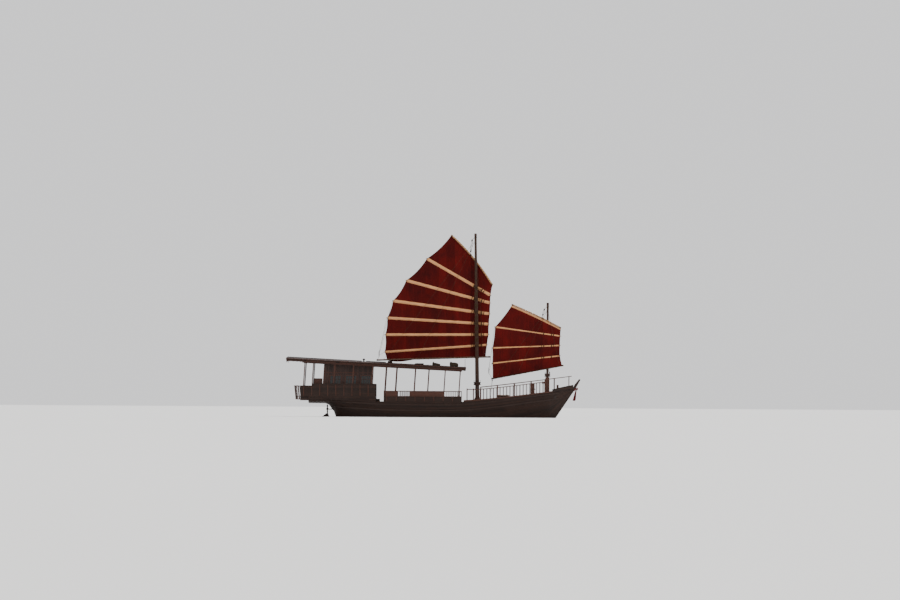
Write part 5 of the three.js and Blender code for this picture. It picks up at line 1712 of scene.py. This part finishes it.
def build_spars(sail):
    """Yard and boom as bamboo with its joints, and the lacing of the cloth to both"""
    name, spar = sail["name"], sail["spar"]
    body = f"{name}_sail"
    y = boom_offset(sail)
    lash = settings().rigging.lashing
    yard = [on_spar(sail["yard"], sail["bend"], k / 24) for k in range(25)]
    yard = [Vector((x, y, z)) for x, z in yard]
    x0, z0, x1, z1 = sail["boom"]
    boom = [Vector((mix(x0, x1, k / 12), y, mix(z0, z1, k / 12))) for k in range(13)]
    for word, path, stain in (("yard", yard, "spar_bamboo"), ("boom", boom, "boom_bamboo")):
        bm = bmesh.new()
        bamboo_pole(bm, path, (spar + 0.004) / 0.96, 14, thin=1.0)
        shown(f"{name}_{word}_pole", bm, stain, body)
        repainted(f"{name}_{word}", "mast_timber")
    start, _, stop, _ = pulled_in(sail["foot"])
    beside_cloth = [p for p in boom if start - 0.3 < p.x < stop + 0.3]
    bm = bmesh.new()
    for path, gap in ((yard, 0.30), (beside_cloth, 0.42)):
        for a, b in zip(path, path[1:]):
            turns = max(1, round((b - a).length / gap * 2) / 2)
            rope(bm, helix(a, b, spar + 0.012, turns, 12), lash, 5)
    for path in (yard, boom):
        for a, b in ((path[0], path[1]), (path[-1], path[-2])):
            ahead = (b - a).normalized()
            rope(bm, helix(a + ahead * 0.05, a + ahead * 0.14, spar + 0.007, 6, 12), lash, 5)
    shown(f"{name}_sail_lacing", bm, "rope", body)


def batten_height(sail, row):
    """Where a batten crosses the mast"""
    return mix(row[1], row[3], (sail["mast"]["x"] - row[0]) / (row[2] - row[0]))


def build_parrels(sail):
    """Ropes that hold each batten to the mast, and the one that is led down from batten to batten"""
    name, mast, side = sail["name"], sail["mast"], sail["side"]
    lash = settings().rigging.lashing + 0.002
    plane = cloth_offset(sail)
    near = side * (abs(plane) - 0.032)
    bm = bmesh.new()
    heights = [batten_height(sail, row) for row in sail["battens"]]

    def on_batten(row, away, lift=0.0):
        x = mast["x"] + away
        return Vector((x, near, mix(row[1], row[3], (x - row[0]) / (row[2] - row[0])) + lift))

    def strap(row, away, turns):
        """Turns of rope round a batten and its sleeve"""
        ahead = Vector((row[2] - row[0], 0, row[3] - row[1])).normalized()
        up = Vector((-ahead.z, 0, ahead.x))
        high, deep = row[4] / 2 + 0.006, 0.034
        centre = on_batten(row, away)
        centre.y = plane
        angles = [math.pi * j / 8 for j in range(16)]
        for k in range(turns):
            middle = centre + ahead * (k - (turns - 1) / 2) * 2.1 * lash
            path = [middle + up * high * math.cos(a) + Vector((0, deep * math.sin(a), 0)) for a in angles]
            rope(bm, path, lash, 5, closed=True)

    def round_mast(z_fore, z_aft, clear, tilt=0.0):
        """Half way round the mast, on the side that the sail doesn't reach"""
        points = []
        for k in range(19):
            angle, z = math.pi * k / 18, mix(z_fore, z_aft, k / 18)
            reach = mast_radius(mast, z) + clear
            dx = reach * math.cos(angle)
            points.append(mast_point(mast, z) + Vector((dx, -side * reach * math.sin(angle), tilt * dx)))
        return points

    for k in range(len(heights) - 1):
        upper, lower = sail["battens"][k], sail["battens"][k + 1]
        middle = round_mast(mix(heights[k], heights[k + 1], 0.3), mix(heights[k], heights[k + 1], 0.7), 0.060)
        rope(bm, [on_batten(upper, 0.46)] + middle + [on_batten(lower, -0.46)], lash, 6)
        strap(upper, 0.46, 3)
        strap(lower, -0.46, 3)
    for row, z in zip(sail["battens"], heights):
        tilt = (row[3] - row[1]) / (row[2] - row[0])
        for lift in (-0.060, -0.036, 0.036, 0.060):
            loop = round_mast(z + lift, z + lift, 0.042, tilt)
            rope(bm, [on_batten(row, 0.30, lift)] + loop + [on_batten(row, -0.30, lift)], lash, 6)
        strap(row, 0.30, 4)
        strap(row, -0.30, 4)
    shown(f"{name}_parrels", bm, "rope", f"{name}_sail")


# Running rigging


def build_halyards(sail):
    """The blocks at masthead and yard with the rope between them, and the falls led down to pins"""
    name, mast, side = sail["name"], sail["mast"], sail["side"]
    body = f"{name}_sail"
    radius = settings().rigging.halyard
    spar, y = sail["spar"], boom_offset(sail)
    abaft_mast, below_head, block_size = 0.39, 0.34, 0.17
    path = [on_spar(sail["yard"], sail["bend"], k / 96) for k in range(97)]
    x, z = min(path, key=lambda p: abs(p[0] - mast_point(mast, p[1]).x + abaft_mast))
    head = mast_point(mast, mast["head"] - below_head)
    low = Vector((x, y * 0.94, z + spar + 0.24))
    high = head + Vector((-0.27, side * (mast["tip"] + 0.05), -0.20))
    for word, spot in (("yard", low), ("head", high)):
        bm = bmesh.new()
        pulley(bm, spot, block_size, high - low, (1, 0, 0))
        shown(f"{name}_{word}_block", bm, "block_wood", body)
    bm = bmesh.new()
    for shift in (-0.045, 0.045):
        off = Vector((shift, 0, 0))
        rope(bm, line(low + off, high + off), radius)
    rope(bm, helix((x - 0.07, y, z + 0.04), (x + 0.07, y, z - 0.04), spar + 0.014, 4, 12), radius, 6)
    rope(bm, [low - Vector((0, 0, 0.05)), Vector((x, y, z + spar))], radius)
    ring, rise = mast_radius(mast, head.z) + radius, Vector((0, 0, 0.04))
    rope(bm, helix(head + rise, head - rise, ring, 3, 14), radius, 6)
    start = head + Vector((-ring * 0.8, side * ring * 0.6, 0))
    rope(bm, line(start, high + (high - low).normalized() * 0.05), radius)
    shown(f"{name}_halyard_parts", bm, "rope", body)

    # The falls come down the side of the mast that the sail never reaches, and are made fast to pins
    pins = sorted(pin_spots(name, mast), key=lambda spot: side * spot.y)[:2]
    pins.sort(key=lambda spot: spot.x)
    spreads = (-0.035, 0.04)
    bm = bmesh.new()
    for spread, pin in zip(spreads, pins):
        points = []
        for k in range(25):
            z = mix(mast["head"] - 0.32, pin.z + 0.45, k / 24)
            out = mast_radius(mast, z) + mix(0.055, 0.075, k / 24)
            points.append(mast_point(mast, z) + Vector((spread, -side * out, 0)))
        wound = helix(pin + Vector((0, 0, 0.125)), pin + Vector((0, 0, 0.045)), 0.017 + radius, 4, 12)
        rope(bm, points + wound, radius)
    shown(f"{name}_halyard_falls", bm, "rope", "ship")
    bm = bmesh.new()
    for spread in spreads:
        spot = mast_point(mast, mast["head"] - 0.25) + Vector((spread, -side * (mast["tip"] + 0.045), 0))
        pulley(bm, spot, 0.12, (0, 0, 1), (1, 0, 0))
    shown(f"{name}_fall_blocks", bm, "block_wood", "ship")


def yard_height(sail, x):
    """About how high the yard is at a place along the ship"""
    x0, _, x1, _ = sail["yard"]
    return on_spar(sail["yard"], sail["bend"], (x - x0) / (x1 - x0))[1]


def build_topping_lifts(sail):
    """Lines from the masthead down both faces of the sail to the boom, which carry its weight"""
    name, mast, side = sail["name"], sail["mast"], sail["side"]
    radius = settings().rigging.lashing
    x0, z0, x1, z1 = sail["boom"]
    beside = side * (sail["spar"] + 0.012)
    top = mast_point(mast, mast["head"] - 0.5)
    ring = mast_radius(mast, top.z) + radius
    bm = bmesh.new()
    rope(bm, helix(top + Vector((0, 0, 0.035)), top - Vector((0, 0, 0.035)), ring, 4, 14), radius, 5)
    start = top + Vector((0, side * ring, 0))
    for near in (True, False):
        end = boom_offset(sail) + (-beside if near else beside)
        out = end if near else cloth_offset(sail) + side * 0.11
        for share in (0.06, 0.36, 0.94):
            foot = Vector((mix(x0, x1, share), end, mix(z0, z1, share)))
            straight = [start.lerp(foot, k / 40) for k in range(41)]
            # Clear of the spars and the cloth from where it passes the yard
            passing = next(k for k, p in enumerate(straight) if p.z < yard_height(sail, p.x) + 0.30)
            for k, p in enumerate(straight):
                if k < 39:
                    p.y = mix(start.y, out, min(1.0, k / passing))
            rope(bm, straight, radius, 5)
    shown(f"{name}_topping_lifts", bm, "rope", f"{name}_sail")


# How each sheet is led: the highest batten that it holds, counted down from 0, where its lines gather, where
# its tackle stands on the ship and leads to on the boom, and the tackle's two blocks
SHEET_LEADS = (
    {
        "sail": MAIN_SAIL,
        "first_batten": 2,
        "gather": Vector((-4.55, 0.26, 4.86)),
        "landing": SHEET_BLOCK,
        "boom_share": (SHEET_BLOCK.x - MAIN_SAIL["boom"][0]) / (MAIN_SAIL["boom"][2] - MAIN_SAIL["boom"][0]),
        "hang": Vector((-0.12, 0, 0.03)),
        "upper_block": (Vector((0, 0.09, 0.02)), 0.13, (1, 0, -0.3)),
        "lower_block": (0.075, 0.12),
        "fall_start": Vector((0, 0.06, 0)),
        "facing": Vector((0, 1, 0)),
    },
    {
        "sail": FORE_SAIL,
        "first_batten": 0,
        "gather": Vector((3.93, -0.20, 3.62)),
        "landing": Vector((4.05, 0, 1.50)),
        "boom_share": 0.015,
        "hang": Vector((0, 0, -0.09)),
        "upper_block": (Vector(), 0.14, (0.05, 0.1, 1)),
        "lower_block": (0.10, 0.15),
        "fall_start": Vector((0, 0, -0.05)),
        "facing": Vector((1, 0, 0)),
    },
)


def build_sheet(lead):
    """Lines from the after ends of the battens, gathered in a long block, and a tackle down to the ship"""
    sail, facing = lead["sail"], lead["facing"]
    name, spar = sail["name"], sail["spar"]
    body = f"{name}_sail"
    radius = settings().rigging.sheet_line
    gather, landing = lead["gather"], lead["landing"]
    x0, z0, x1, z1 = sail["boom"]
    bm = bmesh.new()
    for k, row in enumerate(sail["battens"][lead["first_batten"] :]):
        end = Vector((row[0] - 0.02, cloth_offset(sail), row[1]))
        target = gather + Vector((0, 0, 0.16 - 0.09 * k))
        rope(bm, line(end, target, 0.01 * (end - target).length, 14), radius * 0.75, 5)
        rope(bm, helix(end, end + Vector((0.03, 0, 0)), 0.03, 2, 8), radius * 0.6, 5)
    tail = Vector((x0 + 0.08, boom_offset(sail), z0 + spar))
    rope(bm, line(gather - Vector((0, 0, 0.22)), tail), radius, 6)
    shown(f"{name}_sheet_lines", bm, "rope", body)

    def tapered(share):
        size = 0.6 + 0.4 * math.sin(math.pi * share)
        a, b = 0.018 * size, 0.03 * size
        return [(-a, -b), (a, -b), (a, b), (-a, b)]

    bm = bmesh.new()
    swept(bm, [gather + Vector((0, 0, 0.24 - 0.06 * k)) for k in range(9)], tapered, (1, 0, 0))
    shown(f"{name}_sheet_euphroe", bm, "block_wood", body, edge=0.006)

    # The tackle: a strop and the upper block under the boom, the lower block on the ship, two falls
    share = lead["boom_share"]
    hang = Vector((mix(x0, x1, share), boom_offset(sail), mix(z0, z1, share) - spar))
    middle, half = hang + Vector((0, 0, spar)), Vector((0.05, 0, 0))
    bm = bmesh.new()
    rope(bm, helix(middle - half, middle + half, spar + 0.01, 4, 12), radius, 6)
    shown(f"{name}_sheet_strop", bm, "rope", body)
    upper = hang + lead["hang"]
    shift, size, direction = lead["upper_block"]
    bm = bmesh.new()
    pulley(bm, upper + shift, size, direction, facing)
    shown(f"{name}_sheet_upper_block", bm, "block_wood", body)
    rise, size = lead["lower_block"]
    lower = landing + Vector((0, 0, rise))
    bm = bmesh.new()
    pulley(bm, lower, size, (0, 0, 1), facing)
    hoop(bm, upright(landing + Vector((0, 0, 0.012))), 0.0, 0.045, 0.02, 14)
    shown(f"{name}_sheet_lower_block", bm, "block_wood", "ship")
    start = upper + lead["fall_start"]
    for number, shift in ((1, -0.03), (2, 0.03)):
        off = facing * shift
        bm = bmesh.new()
        rope(bm, line(lower + off * 0.8, start + off, 0.0, 40), radius * 0.8, 6)
        part = shown(f"{name}_sheet_fall_{number}", bm, "rope", None)
        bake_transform(part)


# Soft pieces


def puffed(bm, name, voxel, cap):
    """Remeshes a closed form and lets the canvas over it swell a little, by no more than cap"""
    pressure, frames = 4, 20
    mesh = bpy.data.meshes.new(name)
    bm.to_mesh(mesh)
    bm.free()
    work = bpy.data.objects.new(name, mesh)
    bpy.context.scene.collection.objects.link(work)
    remesh = work.modifiers.new("Remesh", "REMESH")
    remesh.mode, remesh.voxel_size = "VOXEL", voxel

    def applied():
        bpy.context.view_layer.update()
        graph = bpy.context.evaluated_depsgraph_get()
        fresh = bpy.data.meshes.new_from_object(work.evaluated_get(graph))
        work.modifiers.clear()
        work.data = fresh

    applied()
    rest = [v.co.copy() for v in work.data.vertices]
    cloth = work.modifiers.new("Cloth", "CLOTH")
    cloth.settings.use_pressure = True
    cloth.settings.uniform_pressure_force = pressure
    cloth.settings.effector_weights.gravity = 0
    cloth.settings.quality = 5
    scene = bpy.context.scene
    for number in range(1, frames + 1):
        scene.frame_set(number)
    applied()
    scene.frame_set(1)
    for vert, home in zip(work.data.vertices, rest):
        move = vert.co - home
        if move.length > cap:
            vert.co = home + move.normalized() * cap
    bm = bmesh.new()
    bm.from_mesh(work.data)
    bpy.data.objects.remove(work)
    return bm


def section_ring(bm, y, grow):
    """The outline of a mesh at one place across, a little outside it, as a closed path"""
    copy = bm.copy()
    every = copy.verts[:] + copy.edges[:] + copy.faces[:]
    cut = bmesh.ops.bisect_plane(copy, geom=every, plane_co=(0, y, 0), plane_no=(0, 1, 0))
    links = {}
    for edge in (item for item in cut["geom_cut"] if isinstance(item, bmesh.types.BMEdge)):
        a, b = edge.verts
        links.setdefault(a, []).append(b)
        links.setdefault(b, []).append(a)
    start = next(iter(links))
    chain, before = [start], None
    while True:
        step = next((v for v in links[chain[-1]] if v is not before), None)
        if step is None or step is start:
            break
        before = chain[-1]
        chain.append(step)
    points = [v.co.copy() for v in chain]
    copy.free()
    centre = sum(points, Vector()) / len(points)
    kept = points[:: max(1, len(points) // 40)]
    smooth = [(kept[i - 1] + kept[i] * 2 + kept[(i + 1) % len(kept)]) / 4 for i in range(len(kept))]
    return [p + (p - centre).normalized() * grow for p in smooth]


def build_bundles():
    """Folded canvas on the roof, tied down"""
    voxel, swell, strap = 0.016, 0.016, 0.007
    for word in ("aft", "fore"):
        name = f"roof_bundle_{word}"
        bm = puffed(copied(name), name, voxel, swell)
        low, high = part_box(name)
        for vert in bm.verts:
            up = (vert.co.z - low.z) / (high.z - low.z)
            ripple = noise.noise(vert.co * 5.0) * 0.014 + math.sin(vert.co.z * 85 + vert.co.x * 6) * 0.003
            vert.co += vert.normal * ripple * min(1.0, max(0.0, up * 3))
        bm.normal_update()
        straps = bmesh.new()
        for y in (-0.19, 0.19):
            rope(straps, section_ring(bm, y, strap + 0.001), strap, 6, closed=True)
        shown(f"{name}_straps", straps, "rope", "ship")
        pad = shown(f"{name}_canvas", bm, "tarred_canvas", "ship", (name,), sharp=60)


def build_tail(name, top, foot, width, lean, phase):
    """A tail of the ribbon, which hangs in upright folds that open towards its foot"""
    length = top.z - foot[1]

    def spot(u, up):
        v = 1 - up
        x = mix(top.x, foot[0], v) + (u - 0.5) * 2 * mix(0.035, width, v**0.8)
        y = top.y + lean * v + 0.030 * math.sin(2 * math.pi * (2.2 * u + phase) + 1.5 * v) * (0.5 + 0.6 * v)
        z = mix(top.z, foot[1], v) - 0.02 * math.sin(math.pi * u) * v
        return (x, y, z), (u * 0.42, v * length)

    bm, _ = draped(28, 34, spot)
    size = sum(face.calc_area() for face in bm.faces)
    made = shown(name, bm, "red_ribbon", "ship", thick=0.002, sharp=80)


def build_ribbon():
    """Red cloth tied round the stem head, with a knot and two hanging tails"""
    knot = bmesh.new()
    # The turn of cloth round the stem head
    path = []
    for k in range(28):
        angle = 2 * math.pi * k / 28
        x = 0.118 * math.copysign(abs(math.cos(angle)) ** 0.6, math.cos(angle))
        y = 0.104 * math.copysign(abs(math.sin(angle)) ** 0.45, math.sin(angle))
        path.append(Vector((10.575 + x * 0.62, y, 2.19 + x * 0.75)))
    fold = [(-1, -1), (1, -1), (1.4, 0), (1, 1), (-1, 1), (-0.4, 0)]
    swept(knot, path, steady([(a * 0.006, b * 0.05) for a, b in fold]), (-0.75, 0, 0.62), True)
    # Two loops of the bow and the knot between them
    for way in (-1, 1):
        path = []
        for k in range(20):
            angle = 2 * math.pi * k / 20
            x, y = 10.69 + 0.045 * (1 - math.cos(angle)), way * (0.055 - 0.05 * math.cos(angle))
            path.append(Vector((x, y, 2.245 + 0.085 * math.sin(angle))))
        swept(knot, path, bar(0.004, 0.034), (1, 0, 0.2), True)
    ball = bmesh.ops.create_icosphere(knot, subdivisions=3, radius=0.045)["verts"]
    for vert in ball:
        vert.co *= 1 + 0.12 * noise.noise(vert.co * 40)
    bmesh.ops.translate(knot, vec=(10.69, 0, 2.215), verts=ball)
    shown("ribbon_knot", knot, "red_ribbon", "ship", ("bow_ribbon",), sharp=60)
    build_tail("ribbon_tail_port", Vector((10.675, 0.02, 2.17)), (10.51, 1.345), 0.105, 0.035, 0.0)
    build_tail("ribbon_tail_starboard", Vector((10.665, -0.02, 2.17)), (10.56, 1.42), 0.085, -0.035, 0.4)


# Steering gear


def build_steering():
    """The rudder with its iron straps, and the propeller"""
    timbered([("rudder", "rudder_blade", "hull_timber", "hull_wood", 1.2)])
    bm = copied("propeller", 0.5)
    shown("propeller_casting", bm, "cast_bronze", "propeller", ("propeller",), sharp=40)
    bm = bmesh.new()
    blade_half, strap_out, strap_half = 0.0395, 0.050, 0.04
    stock, stock_radius = -8.51, 0.049
    for z, aft in ((-0.35, -9.10), (-0.95, -9.12)):
        for side in (1, -1):
            y0, y1 = sorted((side * blade_half, side * strap_out))
            block(bm, (aft, y0, z - strap_half), (-8.30, y1, z + strap_half))
    for z in (0.42, 0.82):
        hoop(bm, upright((stock, 0, z)), stock_radius, stock_radius + 0.017, 0.05, 24)
    shown("rudder_straps", bm, "iron", "rudder", edge=0.003)


# The stage


def build_stage():
    """A pale floor, an even light from all round, three lamps and the camera"""
    stage = settings().stage
    bm = bmesh.new()
    bmesh.ops.create_grid(bm, x_segments=8, y_segments=8, size=9000.0)
    mesh = bpy.data.meshes.new("floor")
    bm.to_mesh(mesh)
    bm.free()
    mesh.materials.append(finish("floor"))
    floor = bpy.data.objects.new("floor", mesh)
    bpy.context.scene.collection.objects.link(floor)

    world = bpy.data.worlds.new("studio")
    world.use_nodes = True
    world.node_tree.nodes["Background"].inputs["Color"].default_value = (0.96, 0.96, 0.97, 1)
    world.node_tree.nodes["Background"].inputs["Strength"].default_value = 1.1
    bpy.context.scene.world = world
    lights = (
        ("key", 1.9, 16, (-52, 0, -24)),
        ("front", 0.9, 35, (50, 0, -32)),
        ("side", 0.5, 40, (60, 0, 50)),
    )
    for name, strength, angle, turn in lights:
        light = bpy.data.lights.new(name, "SUN")
        light.energy, light.angle = strength, math.radians(angle)
        lamp = bpy.data.objects.new(name, light)
        lamp.rotation_euler = [math.radians(a) for a in turn]
        bpy.context.scene.collection.objects.link(lamp)

    lens = bpy.data.cameras.new("camera")
    lens.sensor_width = 36.0
    lens.lens = lens.sensor_width * stage.distance / stage.view_width
    lens.clip_start, lens.clip_end = 1.0, 20000
    pitch = math.atan(stage.horizon * lens.sensor_width / lens.lens)
    camera = bpy.data.objects.new("camera", lens)
    camera.location = (stage.eye_place, -stage.distance, stage.eye_height)
    tilt = Matrix.Rotation(math.pi / 2 + pitch, 4, "X") @ Matrix.Rotation(stage.roll, 4, "Z")
    camera.rotation_euler = tilt.to_euler()
    bpy.context.scene.collection.objects.link(camera)
    bpy.context.scene.camera = camera


# Operators, panel and registration


class JUNK_OT_stage(bpy.types.Operator):
    """Lay the pale floor and set up the light and the camera"""

    bl_idname = "junk.stage"
    bl_label = "Stage"

    def execute(self, context):
        build_stage()
        return {"FINISHED"}


class JUNK_OT_hull(bpy.types.Operator):
    """Plank the hull and finish the keel, stem, wales and hawse rings"""

    bl_idname = "junk.hull"
    bl_label = "Hull"

    def execute(self, context):
        build_hull()
        return {"FINISHED"}


class JUNK_OT_decks(bpy.types.Operator):
    """Lay the deck planks and the hatch's boards"""

    bl_idname = "junk.decks"
    bl_label = "Decks"

    def execute(self, context):
        build_decks()
        return {"FINISHED"}


class JUNK_OT_bulwarks(bpy.types.Operator):
    """Board the bulwarks and finish rails, benches and the stern gallery"""

    bl_idname = "junk.bulwarks"
    bl_label = "Bulwarks and rails"

    def execute(self, context):
        build_bulwarks()
        build_rails()
        return {"FINISHED"}


class JUNK_OT_canopy(bpy.types.Operator):
    """Board the canopy, with its rafters, mouldings and posts"""

    bl_idname = "junk.canopy"
    bl_label = "Canopy"

    def execute(self, context):
        build_canopy()
        return {"FINISHED"}


class JUNK_OT_deckhouse(bpy.types.Operator):
    """Board the deckhouse and fit its windows, doors and helm"""

    bl_idname = "junk.deckhouse"
    bl_label = "Deckhouse"

    def execute(self, context):
        build_deckhouse()
        build_helm()
        return {"FINISHED"}


class JUNK_OT_deck_gear(bpy.types.Operator):
    """Finish the windlass, bitts, fife rail and engine casing"""

    bl_idname = "junk.deck_gear"
    bl_label = "Deck gear"

    def execute(self, context):
        build_deck_gear()
        return {"FINISHED"}


class JUNK_OT_masts(bpy.types.Operator):
    """Finish both masts, with bands, wedges and pins"""

    bl_idname = "junk.masts"
    bl_label = "Masts"

    def execute(self, context):
        build_masts()
        return {"FINISHED"}


class JUNK_OT_sails(bpy.types.Operator):
    """Cut and hang both sails, with their battens, yards, booms and lacing"""

    bl_idname = "junk.sails"
    bl_label = "Sails"

    def execute(self, context):
        for sail in (MAIN_SAIL, FORE_SAIL):
            build_sail(sail)
            build_battens(sail)
            build_spars(sail)
            build_parrels(sail)
        return {"FINISHED"}


class JUNK_OT_rigging(bpy.types.Operator):
    """Reeve the halyards, topping lifts and sheets"""

    bl_idname = "junk.rigging"
    bl_label = "Rigging"

    def execute(self, context):
        for sail in (MAIN_SAIL, FORE_SAIL):
            build_halyards(sail)
            build_topping_lifts(sail)
        for lead in SHEET_LEADS:
            build_sheet(lead)
        return {"FINISHED"}


class JUNK_OT_soft_pieces(bpy.types.Operator):
    """Tie the canvas bundles on the roof and the ribbon on the stem"""

    bl_idname = "junk.soft_pieces"
    bl_label = "Bundles and ribbon"

    def execute(self, context):
        build_bundles()
        build_ribbon()
        return {"FINISHED"}


class JUNK_OT_steering(bpy.types.Operator):
    """Finish the rudder and the propeller"""

    bl_idname = "junk.steering"
    bl_label = "Rudder and propeller"

    def execute(self, context):
        build_steering()
        return {"FINISHED"}


OPERATORS = (
    JUNK_OT_stage,
    JUNK_OT_hull,
    JUNK_OT_decks,
    JUNK_OT_bulwarks,
    JUNK_OT_canopy,
    JUNK_OT_deckhouse,
    JUNK_OT_deck_gear,
    JUNK_OT_masts,
    JUNK_OT_sails,
    JUNK_OT_rigging,
    JUNK_OT_soft_pieces,
    JUNK_OT_steering,
)


class JUNK_PT_ship(bpy.types.Panel):
    """Lists the ship's settings and pieces"""

    bl_idname = "JUNK_PT_ship"
    bl_label = "Junk Ship"
    bl_space_type = "VIEW_3D"
    bl_region_type = "UI"
    bl_category = "Junk Ship"

    def draw(self, context):
        ship = context.scene.junk_ship
        for group in (ship.timber, ship.sails, ship.rigging, ship.stage):
            box = self.layout.box()
            for key in group.bl_rna.properties.keys():
                if key not in ("rna_type", "name"):
                    box.prop(group, key)
        for operator in OPERATORS:
            self.layout.operator(operator.bl_idname)


CLASSES = (
    JunkTimberSettings,
    JunkSailSettings,
    JunkRiggingSettings,
    JunkStageSettings,
    JunkShipSettings,
    *OPERATORS,
    JUNK_PT_ship,
)


def register():
    for cls in CLASSES:
        bpy.utils.register_class(cls)
    bpy.types.Scene.junk_ship = PointerProperty(
        type=JunkShipSettings, name="Junk ship", description="Settings"
    )


def unregister():
    del bpy.types.Scene.junk_ship
    for cls in reversed(CLASSES):
        bpy.utils.unregister_class(cls)


def main():
    register()
    for operator in OPERATORS:
        group, name = operator.bl_idname.split(".")
        getattr(getattr(bpy.ops, group), name)()


if __name__ == "__main__":
    main()
